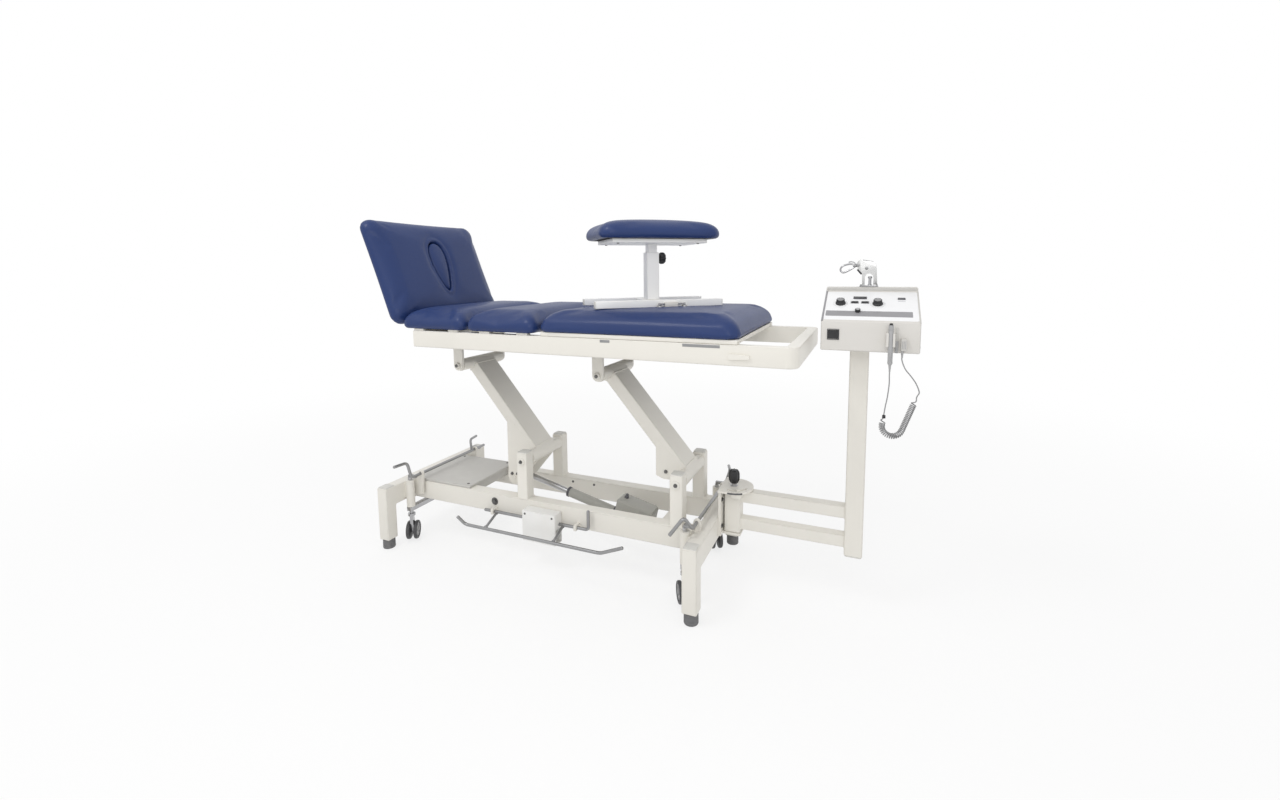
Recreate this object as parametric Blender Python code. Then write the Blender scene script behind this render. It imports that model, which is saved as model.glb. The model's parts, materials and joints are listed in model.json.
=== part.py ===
"""Hi-lo spinal decompression table: rolling leg section, tilting head piece, traction stand and stool.

Metres, +Z up. +X runs from the head end to the traction stand, and -Y is the side with the foot treadle.
"""
import math

import bmesh
import bpy
from mathutils import Matrix, Vector

# Fits and clearances
GAP = 0.0003
PIN_CLEAR = 0.0004
SIDE_CLEAR = 0.0015
WELD = 0.004

# Base: two leg frames joined by two rails that carry the lift posts
BASE_X = -0.2888
LEG_SPREAD_X = 1.29
LEG_SPREAD_Y = 0.558
LEG_SIDE = 0.05
LEG_TOP = 0.254
BEAM_HEIGHT = 0.078
FOOT_DIAMETER = 0.048
FOOT_HEIGHT = 0.038
RAIL_Y = 0.13
RAIL_WIDTH = 0.05
RAIL_TOP = 0.245
RAIL_HEIGHT = 0.075
POST_SIDE = 0.047
POST_OVER_PIVOT = 0.033
SHELF_LENGTH = 0.287
SHELF_WIDTH = 0.30
SHELF_THICKNESS = 0.010

# Parallel lift arms, held at the height in the photo
PIVOT_HEIGHT = 0.392
LEFT_PIVOT_OFFSET = -0.075
PIVOT_SPACING = 0.625
ARM_LENGTH = 0.4625
ARM_ANGLE = 49.6
ARM_WIDTH = 0.12
ARM_DEPTH = 0.05
LOWER_SHAFT_DIAMETER = 0.020
LOWER_HUB_DIAMETER = 0.052
UPPER_HUB_DIAMETER = 0.048
UPPER_PIN_DIAMETER = 0.016
GUSSET_THICKNESS = 0.008
ROD_PIN_DIAMETER = 0.012
ROD_PIN_OFFSET = (-0.100, -0.107)

# Lift actuator between the base and the left arm
ACTUATOR_OFFSET = 0.43
ACTUATOR_HEIGHT = 0.14
ACTUATOR_TUBE_DIAMETER = 0.036
ACTUATOR_ROD_DIAMETER = 0.022
ACTUATOR_TUBE_END = 0.40
MOTOR_LENGTH = 0.15
MOTOR_WIDTH = 0.075
MOTOR_HEIGHT = 0.098

# Casters on two carriers that the pedal bars push down
CASTER_Y = 0.20
SLEEVE_DIAMETER = 0.034
SLEEVE_BOTTOM = 0.150
STEM_DIAMETER = 0.016
STEM_PROUD = 0.012
CARRIER_HEIGHT = 0.020
FORK_PIN_DIAMETER = 0.010
FORK_WIDTH = 0.012
FORK_YAW = 30.0
CASTER_TRAIL = 0.012
WHEEL_DIAMETER = 0.075
WHEEL_SPAN = 0.044
WHEEL_LIFT = 0.0035
AXLE_DIAMETER = 0.008
PEDAL_DIAMETER = 0.012
PEDAL_OVER_STEM = 0.009
CAM_REACH = 0.032

# Foot treadle on the front rail
TREADLE_Y = -0.173
TREADLE_HEIGHT = 0.183
TREADLE_DIAMETER = 0.012
TREADLE_REACH = 0.078
TREADLE_DROP = 0.033
TREADLE_BOX_LENGTH = 0.145
TREADLE_ARMS = (-0.180, 0.118)
TREADLE_LUGS = (-0.205, 0.165)

# Table frame
FRAME_LENGTH = 1.401
FRAME_WIDTH = 0.600
FRAME_HEIGHT = 0.061
FRAME_TUBE = 0.035
FRAME_OVER_PIVOT = 0.156
FRAME_LEFT_OVERHANG = 0.066
HANGER_Y = 0.131
HANGER_THICKNESS = 0.012
HANGER_WIDTH = 0.042
PAD_HEIGHT = 0.0067

# Cushions
CUSHION_WIDTH = 0.618
CUSHION_THICKNESS = 0.078
CUSHION_OVERHANG = 0.056
CUSHION_GAP = 0.005
CHEST_LENGTH = 0.296
LUMBAR_LENGTH = 0.293
LEG_LENGTH = 0.696
LEG_THICKNESS = 0.075
CARRIAGE_HEIGHT = 0.014
EDGE_RUN = 0.055
EDGE_BASE = 0.020
CROWN = 0.005
CORNER_STEPS = 4

# Head piece, raised as in the photo
HEAD_ANGLE = 68.6
HEAD_HINGE_REACH = 0.111
HEAD_HINGE_RISE = 0.003
HEAD_LENGTH = 0.440
HEAD_NOSE = 0.0
HEAD_THICKNESS = 0.068
HEAD_OFFSET = 0.014
HEAD_PIN_DIAMETER = 0.010
SLOT_LENGTH = 0.222
SLOT_SHIFT = -0.006
SLOT_TAPER = 0.40
SLOT_WIDTH = 0.090

# Traction stand
STAND_PIVOT_REACH = 0.069
STAND_PLATE_HEIGHT = 0.352
STAND_PLATE_THICKNESS = 0.008
STAND_FLOOR_HEIGHT = 0.190
STAND_BLOCK_LENGTH = 0.055
STAND_STUD_DIAMETER = 0.012
STOP_RADIUS = 0.050
STOP_DIAMETER = 0.008
STOP_ANGLE = -60.0
STAND_ARM = 0.040
POST_REACH = 0.151
POST_WIDTH = 0.056
POST_BOTTOM = 0.187

# Console on the stand
CONSOLE_LEFT = 0.109
CONSOLE_RIGHT = 0.162
CONSOLE_FRONT = 0.12
CONSOLE_BACK = 0.105
CONSOLE_BOTTOM = 0.874
CONSOLE_LIP = 0.963
CONSOLE_TOP = 1.058
DIAL_DIAMETER = 0.033
DIAL_HEIGHT = 0.016
DIAL_SHAFT_DIAMETER = 0.006
KEY_WIDTH = 0.020
KEY_DEPTH = 0.010
PULLEY_DIAMETER = 0.036
PULLEY_WIDTH = 0.014
CHEEK_THICKNESS = 0.003
SWITCH_DIAMETER = 0.016
SWITCH_LENGTH = 0.115

# Cord of the hand switch
CORD_DIAMETER = 0.0036
CURL_RADIUS = 0.007
CURL_PITCH = 0.0056
CURL_POINTS = 8
CURL_BEND = 0.030
CURL_DROP = 0.012
CURL_RISE = 0.080

# Stool standing on the leg cushion
STOOL_YAW = 40.0
STOOL_BAR_LENGTH = 0.46
STOOL_BAR_SIDE = 0.025
STOOL_BAR_SPACING = 0.19
STOOL_POST_SIDE = 0.045
STOOL_POST_HEIGHT = 0.19
STOOL_STEM_SIDE = 0.033
STOOL_CUSHION_LENGTH = 0.44
STOOL_CUSHION_WIDTH = 0.30
STOOL_CUSHION_THICKNESS = 0.067
STOOL_UNDERSIDE = 0.235


def clear_scene():
    """Remove whatever the scene starts with."""
    for item in list(bpy.data.objects):
        bpy.data.objects.remove(item, do_unlink=True)


def finish(name, colour, roughness, metallic=0.0):
    """A plain Principled material."""
    material = bpy.data.materials.new(name)
    material.use_nodes = True
    shader = material.node_tree.nodes["Principled BSDF"]
    shader.inputs["Base Color"].default_value = (*colour, 1.0)
    shader.inputs["Roughness"].default_value = roughness
    shader.inputs["Metallic"].default_value = metallic
    return material


def body(name, at, parent=None, turn=(0.0, 0.0, 0.0)):
    """An empty on a joint's axis that carries the pieces moving with it."""
    empty = bpy.data.objects.new(name, None)
    bpy.context.scene.collection.objects.link(empty)
    empty.location = at
    empty.rotation_euler = [math.radians(angle) for angle in turn]
    empty.parent = parent
    if parent:
        empty.location = Vector(at) - Vector(parent["place"])
    empty["place"] = list(at)
    return empty


def block(low, high, bevel=0.0):
    """A box between two corners with its edges eased."""
    shape = bmesh.new()
    bmesh.ops.create_cube(shape, size=1.0)
    bmesh.ops.scale(shape, vec=[b - a for a, b in zip(low, high)], verts=shape.verts)
    bmesh.ops.translate(shape, vec=[(a + b) / 2 for a, b in zip(low, high)], verts=shape.verts)
    if bevel:
        bmesh.ops.bevel(shape, geom=shape.edges[:], offset=bevel, segments=1, affect="EDGES")
    return shape


def prism(outline, axis, low, high, bevel=0.0):
    """A flat outline, given in the other two axes, pushed out along an axis."""
    first, second, along = {"X": (1, 2, 0), "Y": (0, 2, 1), "Z": (0, 1, 2)}[axis]
    shape = bmesh.new()
    rings = []
    for level in (low, high):
        ring = []
        for point in outline:
            place = [0.0, 0.0, 0.0]
            place[first] = point[0]
            place[second] = point[1]
            place[along] = level
            ring.append(shape.verts.new(place))
        rings.append(ring)
    stitch(shape, rings[0], rings[1])
    shape.faces.new(rings[0])
    shape.faces.new(rings[1])
    bmesh.ops.recalc_face_normals(shape, faces=shape.faces)
    if bevel:
        bmesh.ops.bevel(shape, geom=shape.edges[:], offset=bevel, segments=1, affect="EDGES")
    return shape


def stitch(shape, ring, above):
    """Quads, or a fan where one ring is a single point, between two rings."""
    count = max(len(ring), len(above))
    for i in range(count):
        j = (i + 1) % count
        corners = [ring[i % len(ring)], ring[j % len(ring)], above[j % len(above)], above[i % len(above)]]
        shape.faces.new(list(dict.fromkeys(corners)))


def turned(profile, centre, axis, sides=16):
    """A profile of radius and height turned about an axis through a centre."""
    shape = bmesh.new()
    rings = []
    for radius, height in profile:
        steps = [2 * math.pi * i / sides for i in range(sides)] if radius else [0.0]
        rings.append([shape.verts.new((radius * math.cos(a), radius * math.sin(a), height)) for a in steps])
    for ring, above in zip(rings, rings[1:]):
        stitch(shape, ring, above)
    for ring in (rings[0], rings[-1]):
        if len(ring) > 1:
            shape.faces.new(ring)
    bmesh.ops.recalc_face_normals(shape, faces=shape.faces)
    turn = Vector((0.0, 0.0, 1.0)).rotation_difference(Vector(axis)).to_matrix().to_4x4()
    bmesh.ops.transform(shape, matrix=Matrix.Translation(centre) @ turn, verts=shape.verts)
    return shape


def rod(start, end, diameter, sides=12):
    """A straight round bar between two points."""
    along = Vector(end) - Vector(start)
    return turned([(diameter / 2, 0.0), (diameter / 2, along.length)], start, along, sides)


def arc(centre, radius, start, end, steps):
    """Points on a flat arc, angles in degrees."""
    angles = [math.radians(start + (end - start) * i / steps) for i in range(steps + 1)]
    return [(centre[0] + radius * math.cos(a), centre[1] + radius * math.sin(a)) for a in angles]


def rounded_path(points, bend, steps=3):
    """A broken line with its corners replaced by short curves."""
    points = [Vector(point) for point in points]
    path = [points[0]]
    for before, corner, after in zip(points, points[1:], points[2:]):
        start = corner + (before - corner).normalized() * bend
        end = corner + (after - corner).normalized() * bend
        for i in range(steps + 1):
            t = i / steps
            path.append(start * (1 - t) ** 2 + corner * 2 * t * (1 - t) + end * t ** 2)
    path.append(points[-1])
    return path


def smooth_path(points, steps):
    """A smooth curve through chosen points."""
    points = [Vector(point) for point in points]
    points = [points[0] * 2 - points[1], *points, points[-1] * 2 - points[-2]]
    path = []
    for a, b, c, d in zip(points, points[1:], points[2:], points[3:]):
        for i in range(steps):
            t = i / steps
            path.append((b * 2 + (c - a) * t + (a * 2 - b * 5 + c * 4 - d) * t ** 2
                         + (b * 3 - a - c * 3 + d) * t ** 3) / 2)
    path.append(points[-2])
    return path


def tube(path, diameter, resolution):
    """A filled tube along a path, as a curve object's mesh."""
    curve = bpy.data.curves.new("tube", "CURVE")
    curve.dimensions = "3D"
    curve.bevel_depth = diameter / 2
    curve.bevel_resolution = resolution
    curve.use_fill_caps = True
    spline = curve.splines.new("POLY")
    spline.points.add(len(path) - 1)
    for point, place in zip(spline.points, path):
        point.co = (*place, 1.0)
    item = bpy.data.objects.new("tube", curve)
    bpy.context.scene.collection.objects.link(item)
    bpy.context.view_layer.update()
    mesh = bpy.data.meshes.new_from_object(item.evaluated_get(bpy.context.evaluated_depsgraph_get()))
    bpy.data.objects.remove(item, do_unlink=True)
    shape = bmesh.new()
    shape.from_mesh(mesh)
    bmesh.ops.remove_doubles(shape, verts=shape.verts, dist=1e-6)
    bmesh.ops.recalc_face_normals(shape, faces=shape.faces)
    return shape


def bent_rod(points, diameter, bend):
    """A round bar bent through a few corners."""
    return tube(rounded_path(points, bend), diameter, 1)


def turned_about(shape, angle, axis, centre=(0.0, 0.0, 0.0)):
    """The same shape rotated about an axis through a centre."""
    turn = Matrix.Rotation(math.radians(angle), 3, axis)
    bmesh.ops.rotate(shape, cent=centre, matrix=turn, verts=shape.verts)
    return shape


def temporary(shape):
    """A scene object holding a shape for a Boolean."""
    mesh = bpy.data.meshes.new("shape")
    shape.to_mesh(mesh)
    shape.free()
    item = bpy.data.objects.new("shape", mesh)
    bpy.context.scene.collection.objects.link(item)
    return item


def combined(add, cut):
    """The mesh of shapes welded together with others cut away."""
    items = [temporary(shape) for shape in add]
    cutters = [temporary(shape) for shape in cut]
    first = items[0]
    for operation, operands in (("UNION", items[1:]), ("DIFFERENCE", cutters)):
        for operand in operands:
            modifier = first.modifiers.new(operation, "BOOLEAN")
            modifier.operation = operation
            modifier.solver = "EXACT"
            modifier.object = operand
    bpy.context.view_layer.update()
    mesh = bpy.data.meshes.new_from_object(first.evaluated_get(bpy.context.evaluated_depsgraph_get()))
    for item in items + cutters:
        bpy.data.objects.remove(item, do_unlink=True)
    return mesh


def solid(name, material, carrier, add, cut=(), local=False):
    """One named piece: shapes welded together, others cut away, carried by a body."""
    mesh = combined(add, cut)
    if carrier and not local:
        mesh.transform(Matrix.Translation(-Vector(carrier["place"])))
    mesh.name = name
    mesh.materials.clear()
    mesh.materials.append(material)
    piece = bpy.data.objects.new(name, mesh)
    bpy.context.scene.collection.objects.link(piece)
    piece.parent = carrier
    return piece


def rounded_outline(half_x, half_y, radius, draw_in=0.0, steps=CORNER_STEPS, straight=2):
    """A rounded rectangle whose sides are drawn in a little between the corners."""
    points = []
    for sx, sy, start in ((1, 1, 0), (-1, 1, 90), (-1, -1, 180), (1, -1, 270)):
        centre = (sx * (half_x - radius), sy * (half_y - radius))
        points.extend(arc(centre, radius, start, start + 90, steps))
        for i in range(1, straight + 1):
            t = 2 * i / (straight + 1) - 1
            pull = draw_in * (1 - t * t)
            if start in (0, 180):
                points.append((-centre[0] * t, sy * (half_y - pull)))
            else:
                points.append((sx * (half_x - pull), -centre[1] * t))
    return points


def cushion(length, width, thickness, corner, slot=None):
    """An upholstered pad: sloped edges, sides drawn in and a low crown, its underside at zero height."""
    levels = [(0.010, 0.0), (0.003, 0.004), (0.0, 0.012), (0.0, EDGE_BASE)]
    for angle in (30, 60, 90):
        turn = math.radians(angle)
        rise = (thickness - CROWN - EDGE_BASE) * math.sin(turn)
        levels.append((EDGE_RUN * (1 - math.cos(turn)), EDGE_BASE + rise))
    shape = bmesh.new()
    rings = []
    for inset, height in levels:
        radius = max(corner - inset, 0.004)
        outline = rounded_outline(length / 2 - inset, width / 2 - inset, radius, 0.003)
        rings.append([shape.verts.new((x, y, height)) for x, y in outline])
    outer = [vert.co.copy() for vert in rings[-1]]
    inner = slot or [(0.0, 0.0)] * len(outer)
    for step in ((0.25, 0.55), (0.6, 0.95), (0.92, 1.0)):
        ring = []
        for start, (x, y) in zip(outer, inner):
            flat = start.xy.lerp(Vector((x, y)), step[0])
            ring.append(shape.verts.new((*flat, thickness - CROWN * (1 - step[1]))))
        rings.append(ring)
    if slot:
        rings.append([shape.verts.new((x, y, thickness - 0.006)) for x, y in slot])
        rings.append([shape.verts.new((x, y, 0.0)) for x, y in slot])
        stitch(shape, rings[-1], rings[0])
    else:
        shape.faces.new(rings[0])
        stitch(shape, rings[-1], [shape.verts.new((0.0, 0.0, thickness))])
    for ring, above in zip(rings, rings[1:]):
        stitch(shape, ring, above)
    bmesh.ops.recalc_face_normals(shape, faces=shape.faces)
    return shape


def slot_outline(inset):
    """The face slot's teardrop about the head cushion's middle, drawn in by an inset."""
    points = len(rounded_outline(1.0, 1.0, 0.1))
    outline = []
    for i in range(points):
        turn = math.radians(45.0) + math.tau * (i - CORNER_STEPS / 2) / points
        wide = SLOT_WIDTH / 2 * (1 - SLOT_TAPER * math.cos(turn)) - inset
        outline.append((SLOT_SHIFT + (SLOT_LENGTH / 2 - inset) * math.cos(turn), wide * math.sin(turn)))
    return outline


def moved(shape, x, y, z):
    """The same shape shifted."""
    bmesh.ops.translate(shape, vec=(x, y, z), verts=shape.verts)
    return shape


def plate_round(x, z, radius):
    """A half round under a point, for the foot of a hanging plate."""
    return arc((x, z), radius, 180, 360, 8)


# Places that several pieces share
LEG_X = LEG_SPREAD_X / 2
BEAM_FACE = LEG_X - LEG_SIDE / 2
SLEEVE_X = BEAM_FACE - SLEEVE_DIAMETER / 2 - 0.005
RAIL_FACE = RAIL_Y + RAIL_WIDTH / 2
POST_INNER = RAIL_Y - POST_SIDE / 2
POST_OUTER = RAIL_Y + POST_SIDE / 2
LEFT_PIVOT = Vector((BASE_X + LEFT_PIVOT_OFFSET, 0.0, PIVOT_HEIGHT))
RIGHT_PIVOT = LEFT_PIVOT + Vector((PIVOT_SPACING, 0.0, 0.0))
ARM_VECTOR = Vector((-math.cos(math.radians(ARM_ANGLE)), 0.0, math.sin(math.radians(ARM_ANGLE)))) * ARM_LENGTH
UPPER_PIVOT = LEFT_PIVOT + ARM_VECTOR
FRAME_TOP = UPPER_PIVOT.z + FRAME_OVER_PIVOT
FRAME_BOTTOM = FRAME_TOP - FRAME_HEIGHT
FRAME_LEFT = UPPER_PIVOT.x - FRAME_LEFT_OVERHANG
FRAME_RIGHT = FRAME_LEFT + FRAME_LENGTH
RAIL_INSIDE = FRAME_WIDTH / 2 - FRAME_TUBE
CHEST_LEFT = FRAME_LEFT - CUSHION_OVERHANG
LUMBAR_LEFT = CHEST_LEFT + CHEST_LENGTH + CUSHION_GAP
LEG_LEFT = LUMBAR_LEFT + LUMBAR_LENGTH + CUSHION_GAP
LEG_RIGHT = LEG_LEFT + LEG_LENGTH
LEG_BOTTOM = FRAME_TOP + CARRIAGE_HEIGHT + 2 * GAP
LEG_TABLE_TOP = LEG_BOTTOM + LEG_THICKNESS
HEAD_HINGE = Vector((FRAME_LEFT - HEAD_HINGE_REACH, 0.0, FRAME_TOP + HEAD_HINGE_RISE))
ACTUATOR_PIVOT = Vector((BASE_X + ACTUATOR_OFFSET, 0.0, ACTUATOR_HEIGHT))
ROD_PIN = LEFT_PIVOT + Vector((ROD_PIN_OFFSET[0], 0.0, ROD_PIN_OFFSET[1]))
ACTUATOR_ANGLE = math.degrees(math.atan2(ROD_PIN.z - ACTUATOR_PIVOT.z, ROD_PIN.x - ACTUATOR_PIVOT.x))
ACTUATOR_LENGTH = (ROD_PIN - ACTUATOR_PIVOT).length
STAND_PIVOT = Vector((BASE_X + LEG_X + STAND_PIVOT_REACH, 0.0, 0.0))
POST_X = FRAME_RIGHT + POST_REACH
STOOL_PLACE = Vector((LEG_LEFT + 0.302, 0.0, LEG_TABLE_TOP + GAP))

clear_scene()

IVORY = finish("ivory_paint", (0.80, 0.78, 0.72), 0.38)
NAVY = finish("navy_vinyl", (0.030, 0.048, 0.135), 0.42)
GREY_RUBBER = finish("grey_rubber", (0.30, 0.30, 0.31), 0.75)
BLACK = finish("black_plastic", (0.025, 0.025, 0.028), 0.40)
GREY = finish("grey_plastic", (0.34, 0.34, 0.35), 0.45)
STEEL = finish("brushed_steel", (0.60, 0.60, 0.61), 0.30, 1.0)
CHROME = finish("chrome", (0.78, 0.78, 0.80), 0.10, 1.0)
WHITE = finish("white_plastic", (0.82, 0.82, 0.81), 0.40)

# Leg frames with caster sleeves and pedal lugs
PEDAL_PLACES = {}
for side, label in ((-1, "left"), (1, "right")):
    middle = BASE_X + side * LEG_X
    outer = LEG_SPREAD_Y / 2 + LEG_SIDE / 2
    inner = LEG_SPREAD_Y / 2 - LEG_SIDE / 2
    foot = FOOT_HEIGHT + GAP
    under = LEG_TOP - BEAM_HEIGHT
    outline = [(-outer, foot), (-inner, foot), (-inner, under), (inner, under), (inner, foot), (outer, foot),
               (outer, LEG_TOP), (-outer, LEG_TOP)]
    add = [prism(outline, "X", middle - LEG_SIDE / 2, middle + LEG_SIDE / 2, 0.004)]
    cut = []
    sleeve_x = BASE_X + side * SLEEVE_X
    sleeve_top = LEG_TOP + 0.008
    stem_top = sleeve_top + STEM_PROUD
    pedal = Vector((sleeve_x + CAM_REACH, 0.0, stem_top + PEDAL_OVER_STEM))
    PEDAL_PLACES[label] = pedal
    lug_y = (RAIL_FACE + 0.008, RAIL_FACE + 0.018)
    near = BASE_X + side * (BEAM_FACE + WELD)
    lug = [(near, under + 0.01), (pedal.x + 0.006, under + 0.02), (pedal.x + 0.012, pedal.z),
           *arc((pedal.x, pedal.z), 0.012, 30, 150, 4), (pedal.x - 0.012, pedal.z - 0.006),
           (near, LEG_TOP - 0.012)]
    if side > 0:
        lug = [(pedal.x - 0.014, under + 0.02), (pedal.x - 0.012, pedal.z),
               *arc((pedal.x, pedal.z), 0.012, 150, 30, 4),
               (pedal.x + 0.012, pedal.z), (pedal.x + 0.014, under + 0.02)]
    for hand in (-1, 1):
        place = (sleeve_x, hand * CASTER_Y)
        add.append(rod((*place, SLEEVE_BOTTOM), (*place, sleeve_top), SLEEVE_DIAMETER))
        cut.append(rod((*place, SLEEVE_BOTTOM - 0.01), (*place, sleeve_top + 0.01),
                       STEM_DIAMETER + 2 * PIN_CLEAR))
        add.append(block((min(sleeve_x, near), hand * CASTER_Y - 0.011, under + 0.012),
                         (max(sleeve_x, near), hand * CASTER_Y + 0.011, LEG_TOP - 0.006)))
        add.append(prism(lug, "Y", *sorted((hand * lug_y[0], hand * lug_y[1]))))
        cut.append(rod((pedal.x, hand * (lug_y[0] - 0.005), pedal.z),
                       (pedal.x, hand * (lug_y[1] + 0.005), pedal.z),
                       PEDAL_DIAMETER + 2 * PIN_CLEAR))
    solid(f"{label}_leg_frame", IVORY, None, add, cut)

# Rubber feet under the legs
for side, label in ((-1, "left"), (1, "right")):
    for hand, row in ((-1, "front"), (1, "back")):
        profile = [(FOOT_DIAMETER / 2 - 0.004, 0.0), (FOOT_DIAMETER / 2, 0.005),
                   (FOOT_DIAMETER / 2, FOOT_HEIGHT - 0.003),
                   (FOOT_DIAMETER / 2 - 0.003, FOOT_HEIGHT)]
        centre = (BASE_X + side * LEG_X, hand * LEG_SPREAD_Y / 2, 0.0)
        solid(f"{row}_{label}_foot", GREY_RUBBER, None, [turned(profile, centre, (0, 0, 1), 12)])

# Base rails with the lift posts, and the treadle's lugs on the front one
for hand, row in ((-1, "front"), (1, "back")):
    reach = BEAM_FACE - GAP
    low = hand * RAIL_Y - RAIL_WIDTH / 2
    add = [block((BASE_X - reach, low, RAIL_TOP - RAIL_HEIGHT),
                 (BASE_X + reach, low + RAIL_WIDTH, RAIL_TOP), 0.004)]
    cut = []
    for pivot in (LEFT_PIVOT, RIGHT_PIVOT):
        y = hand * RAIL_Y
        add.append(block((pivot.x - POST_SIDE / 2, y - POST_SIDE / 2, RAIL_TOP - 0.02),
                         (pivot.x + POST_SIDE / 2, y + POST_SIDE / 2, pivot.z + POST_OVER_PIVOT), 0.004))
        cut.append(rod((pivot.x, y - 0.05, pivot.z), (pivot.x, y + 0.05, pivot.z),
                       LOWER_SHAFT_DIAMETER + 2 * PIN_CLEAR))
    if hand < 0:
        for x in TREADLE_LUGS:
            add.append(block((BASE_X + x, TREADLE_Y - 0.012, TREADLE_HEIGHT - 0.010),
                             (BASE_X + x + 0.012, -RAIL_FACE + WELD, TREADLE_HEIGHT + 0.012), 0.002))
            cut.append(rod((BASE_X + x - 0.01, TREADLE_Y, TREADLE_HEIGHT),
                           (BASE_X + x + 0.03, TREADLE_Y, TREADLE_HEIGHT),
                           TREADLE_DIAMETER + 2 * PIN_CLEAR))
    solid(f"{row}_base_rail", IVORY, None, add, cut)

# Cross tube that holds the rear end of the actuator
cross_y = RAIL_Y - RAIL_WIDTH / 2 - GAP
lug_gap = 0.016
eye = ACTUATOR_PIVOT
add = [block((eye.x + 0.03, -cross_y, RAIL_TOP - RAIL_HEIGHT + 0.004),
             (eye.x + 0.07, cross_y, RAIL_TOP - 0.03), 0.003),
       rod((eye.x, -lug_gap - 0.010, eye.z), (eye.x, lug_gap + 0.010, eye.z), ROD_PIN_DIAMETER)]
for hand in (-1, 1):
    outline = [*arc((eye.x, eye.z), 0.018, 130, 290, 8), (eye.x + 0.05, RAIL_TOP - RAIL_HEIGHT + 0.008),
               (eye.x + 0.05, RAIL_TOP - 0.04)]
    add.append(prism(outline, "Y", *sorted((hand * lug_gap, hand * (lug_gap + 0.008)))))
solid("actuator_crossbeam", IVORY, None, add)

# Shelf plate over the rails at the head end
shelf_left = BASE_X - BEAM_FACE + 0.003
shelf_bottom = RAIL_TOP + GAP
solid("shelf_plate", GREY, None, [
    block((shelf_left, -SHELF_WIDTH / 2, shelf_bottom),
          (shelf_left + SHELF_LENGTH, SHELF_WIDTH / 2, shelf_bottom + SHELF_THICKNESS), 0.002),
    block((shelf_left + SHELF_LENGTH - 0.008, -cross_y + 0.002, RAIL_TOP - 0.03),
          (shelf_left + SHELF_LENGTH - 0.003, cross_y - 0.002, shelf_bottom + 0.004))])

# Switch box that the treadle's rod passes through
box_left = BASE_X - 0.045
box_end = box_left + TREADLE_BOX_LENGTH
solid("treadle_box", WHITE, None,
      [block((box_left, TREADLE_Y - 0.030, 0.108), (box_end, -RAIL_FACE - GAP, 0.226), 0.003)],
      [rod((box_left - 0.01, TREADLE_Y, TREADLE_HEIGHT), (box_end + 0.01, TREADLE_Y, TREADLE_HEIGHT),
           TREADLE_DIAMETER + 0.001),
       block((box_end - 0.06, TREADLE_Y - 0.026, 0.112), (box_end + 0.01, -RAIL_FACE - 0.004, 0.168))])

# Lower shafts through the posts
for pivot, label in ((LEFT_PIVOT, "left"), (RIGHT_PIVOT, "right")):
    head = POST_OUTER + GAP
    solid(f"{label}_lower_shaft", STEEL, None, [
        turned([(0.013, -head - 0.010), (0.015, -head - 0.008), (0.015, -head),
                (LOWER_SHAFT_DIAMETER / 2, -head),
                (LOWER_SHAFT_DIAMETER / 2, head), (0.015, head), (0.015, head + 0.008),
                (0.013, head + 0.010)],
               pivot, (0, 1, 0), 12)])

# Treadle: pivot rod, two arms and the long foot rod
treadle = body("treadle_joint", (BASE_X, TREADLE_Y, TREADLE_HEIGHT))
foot_y = TREADLE_Y - TREADLE_REACH
foot_z = TREADLE_HEIGHT - TREADLE_DROP
add = [bent_rod([(BASE_X - 0.238, TREADLE_Y, TREADLE_HEIGHT), (BASE_X + 0.222, TREADLE_Y, TREADLE_HEIGHT),
                 (BASE_X + 0.222, TREADLE_Y, TREADLE_HEIGHT + 0.070)], TREADLE_DIAMETER, 0.014),
       bent_rod([(BASE_X - 0.290, foot_y - 0.020, foot_z + 0.036), (BASE_X - 0.272, foot_y, foot_z),
                 (BASE_X + 0.308, foot_y, foot_z), (BASE_X + 0.402, foot_y - 0.020, foot_z + 0.047)],
                TREADLE_DIAMETER, 0.016)]
for x in TREADLE_ARMS:
    add.append(rod((BASE_X + x, TREADLE_Y, TREADLE_HEIGHT), (BASE_X + x, foot_y, foot_z),
                   TREADLE_DIAMETER - 0.002, 12))
solid("foot_treadle", STEEL, treadle, add)

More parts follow.
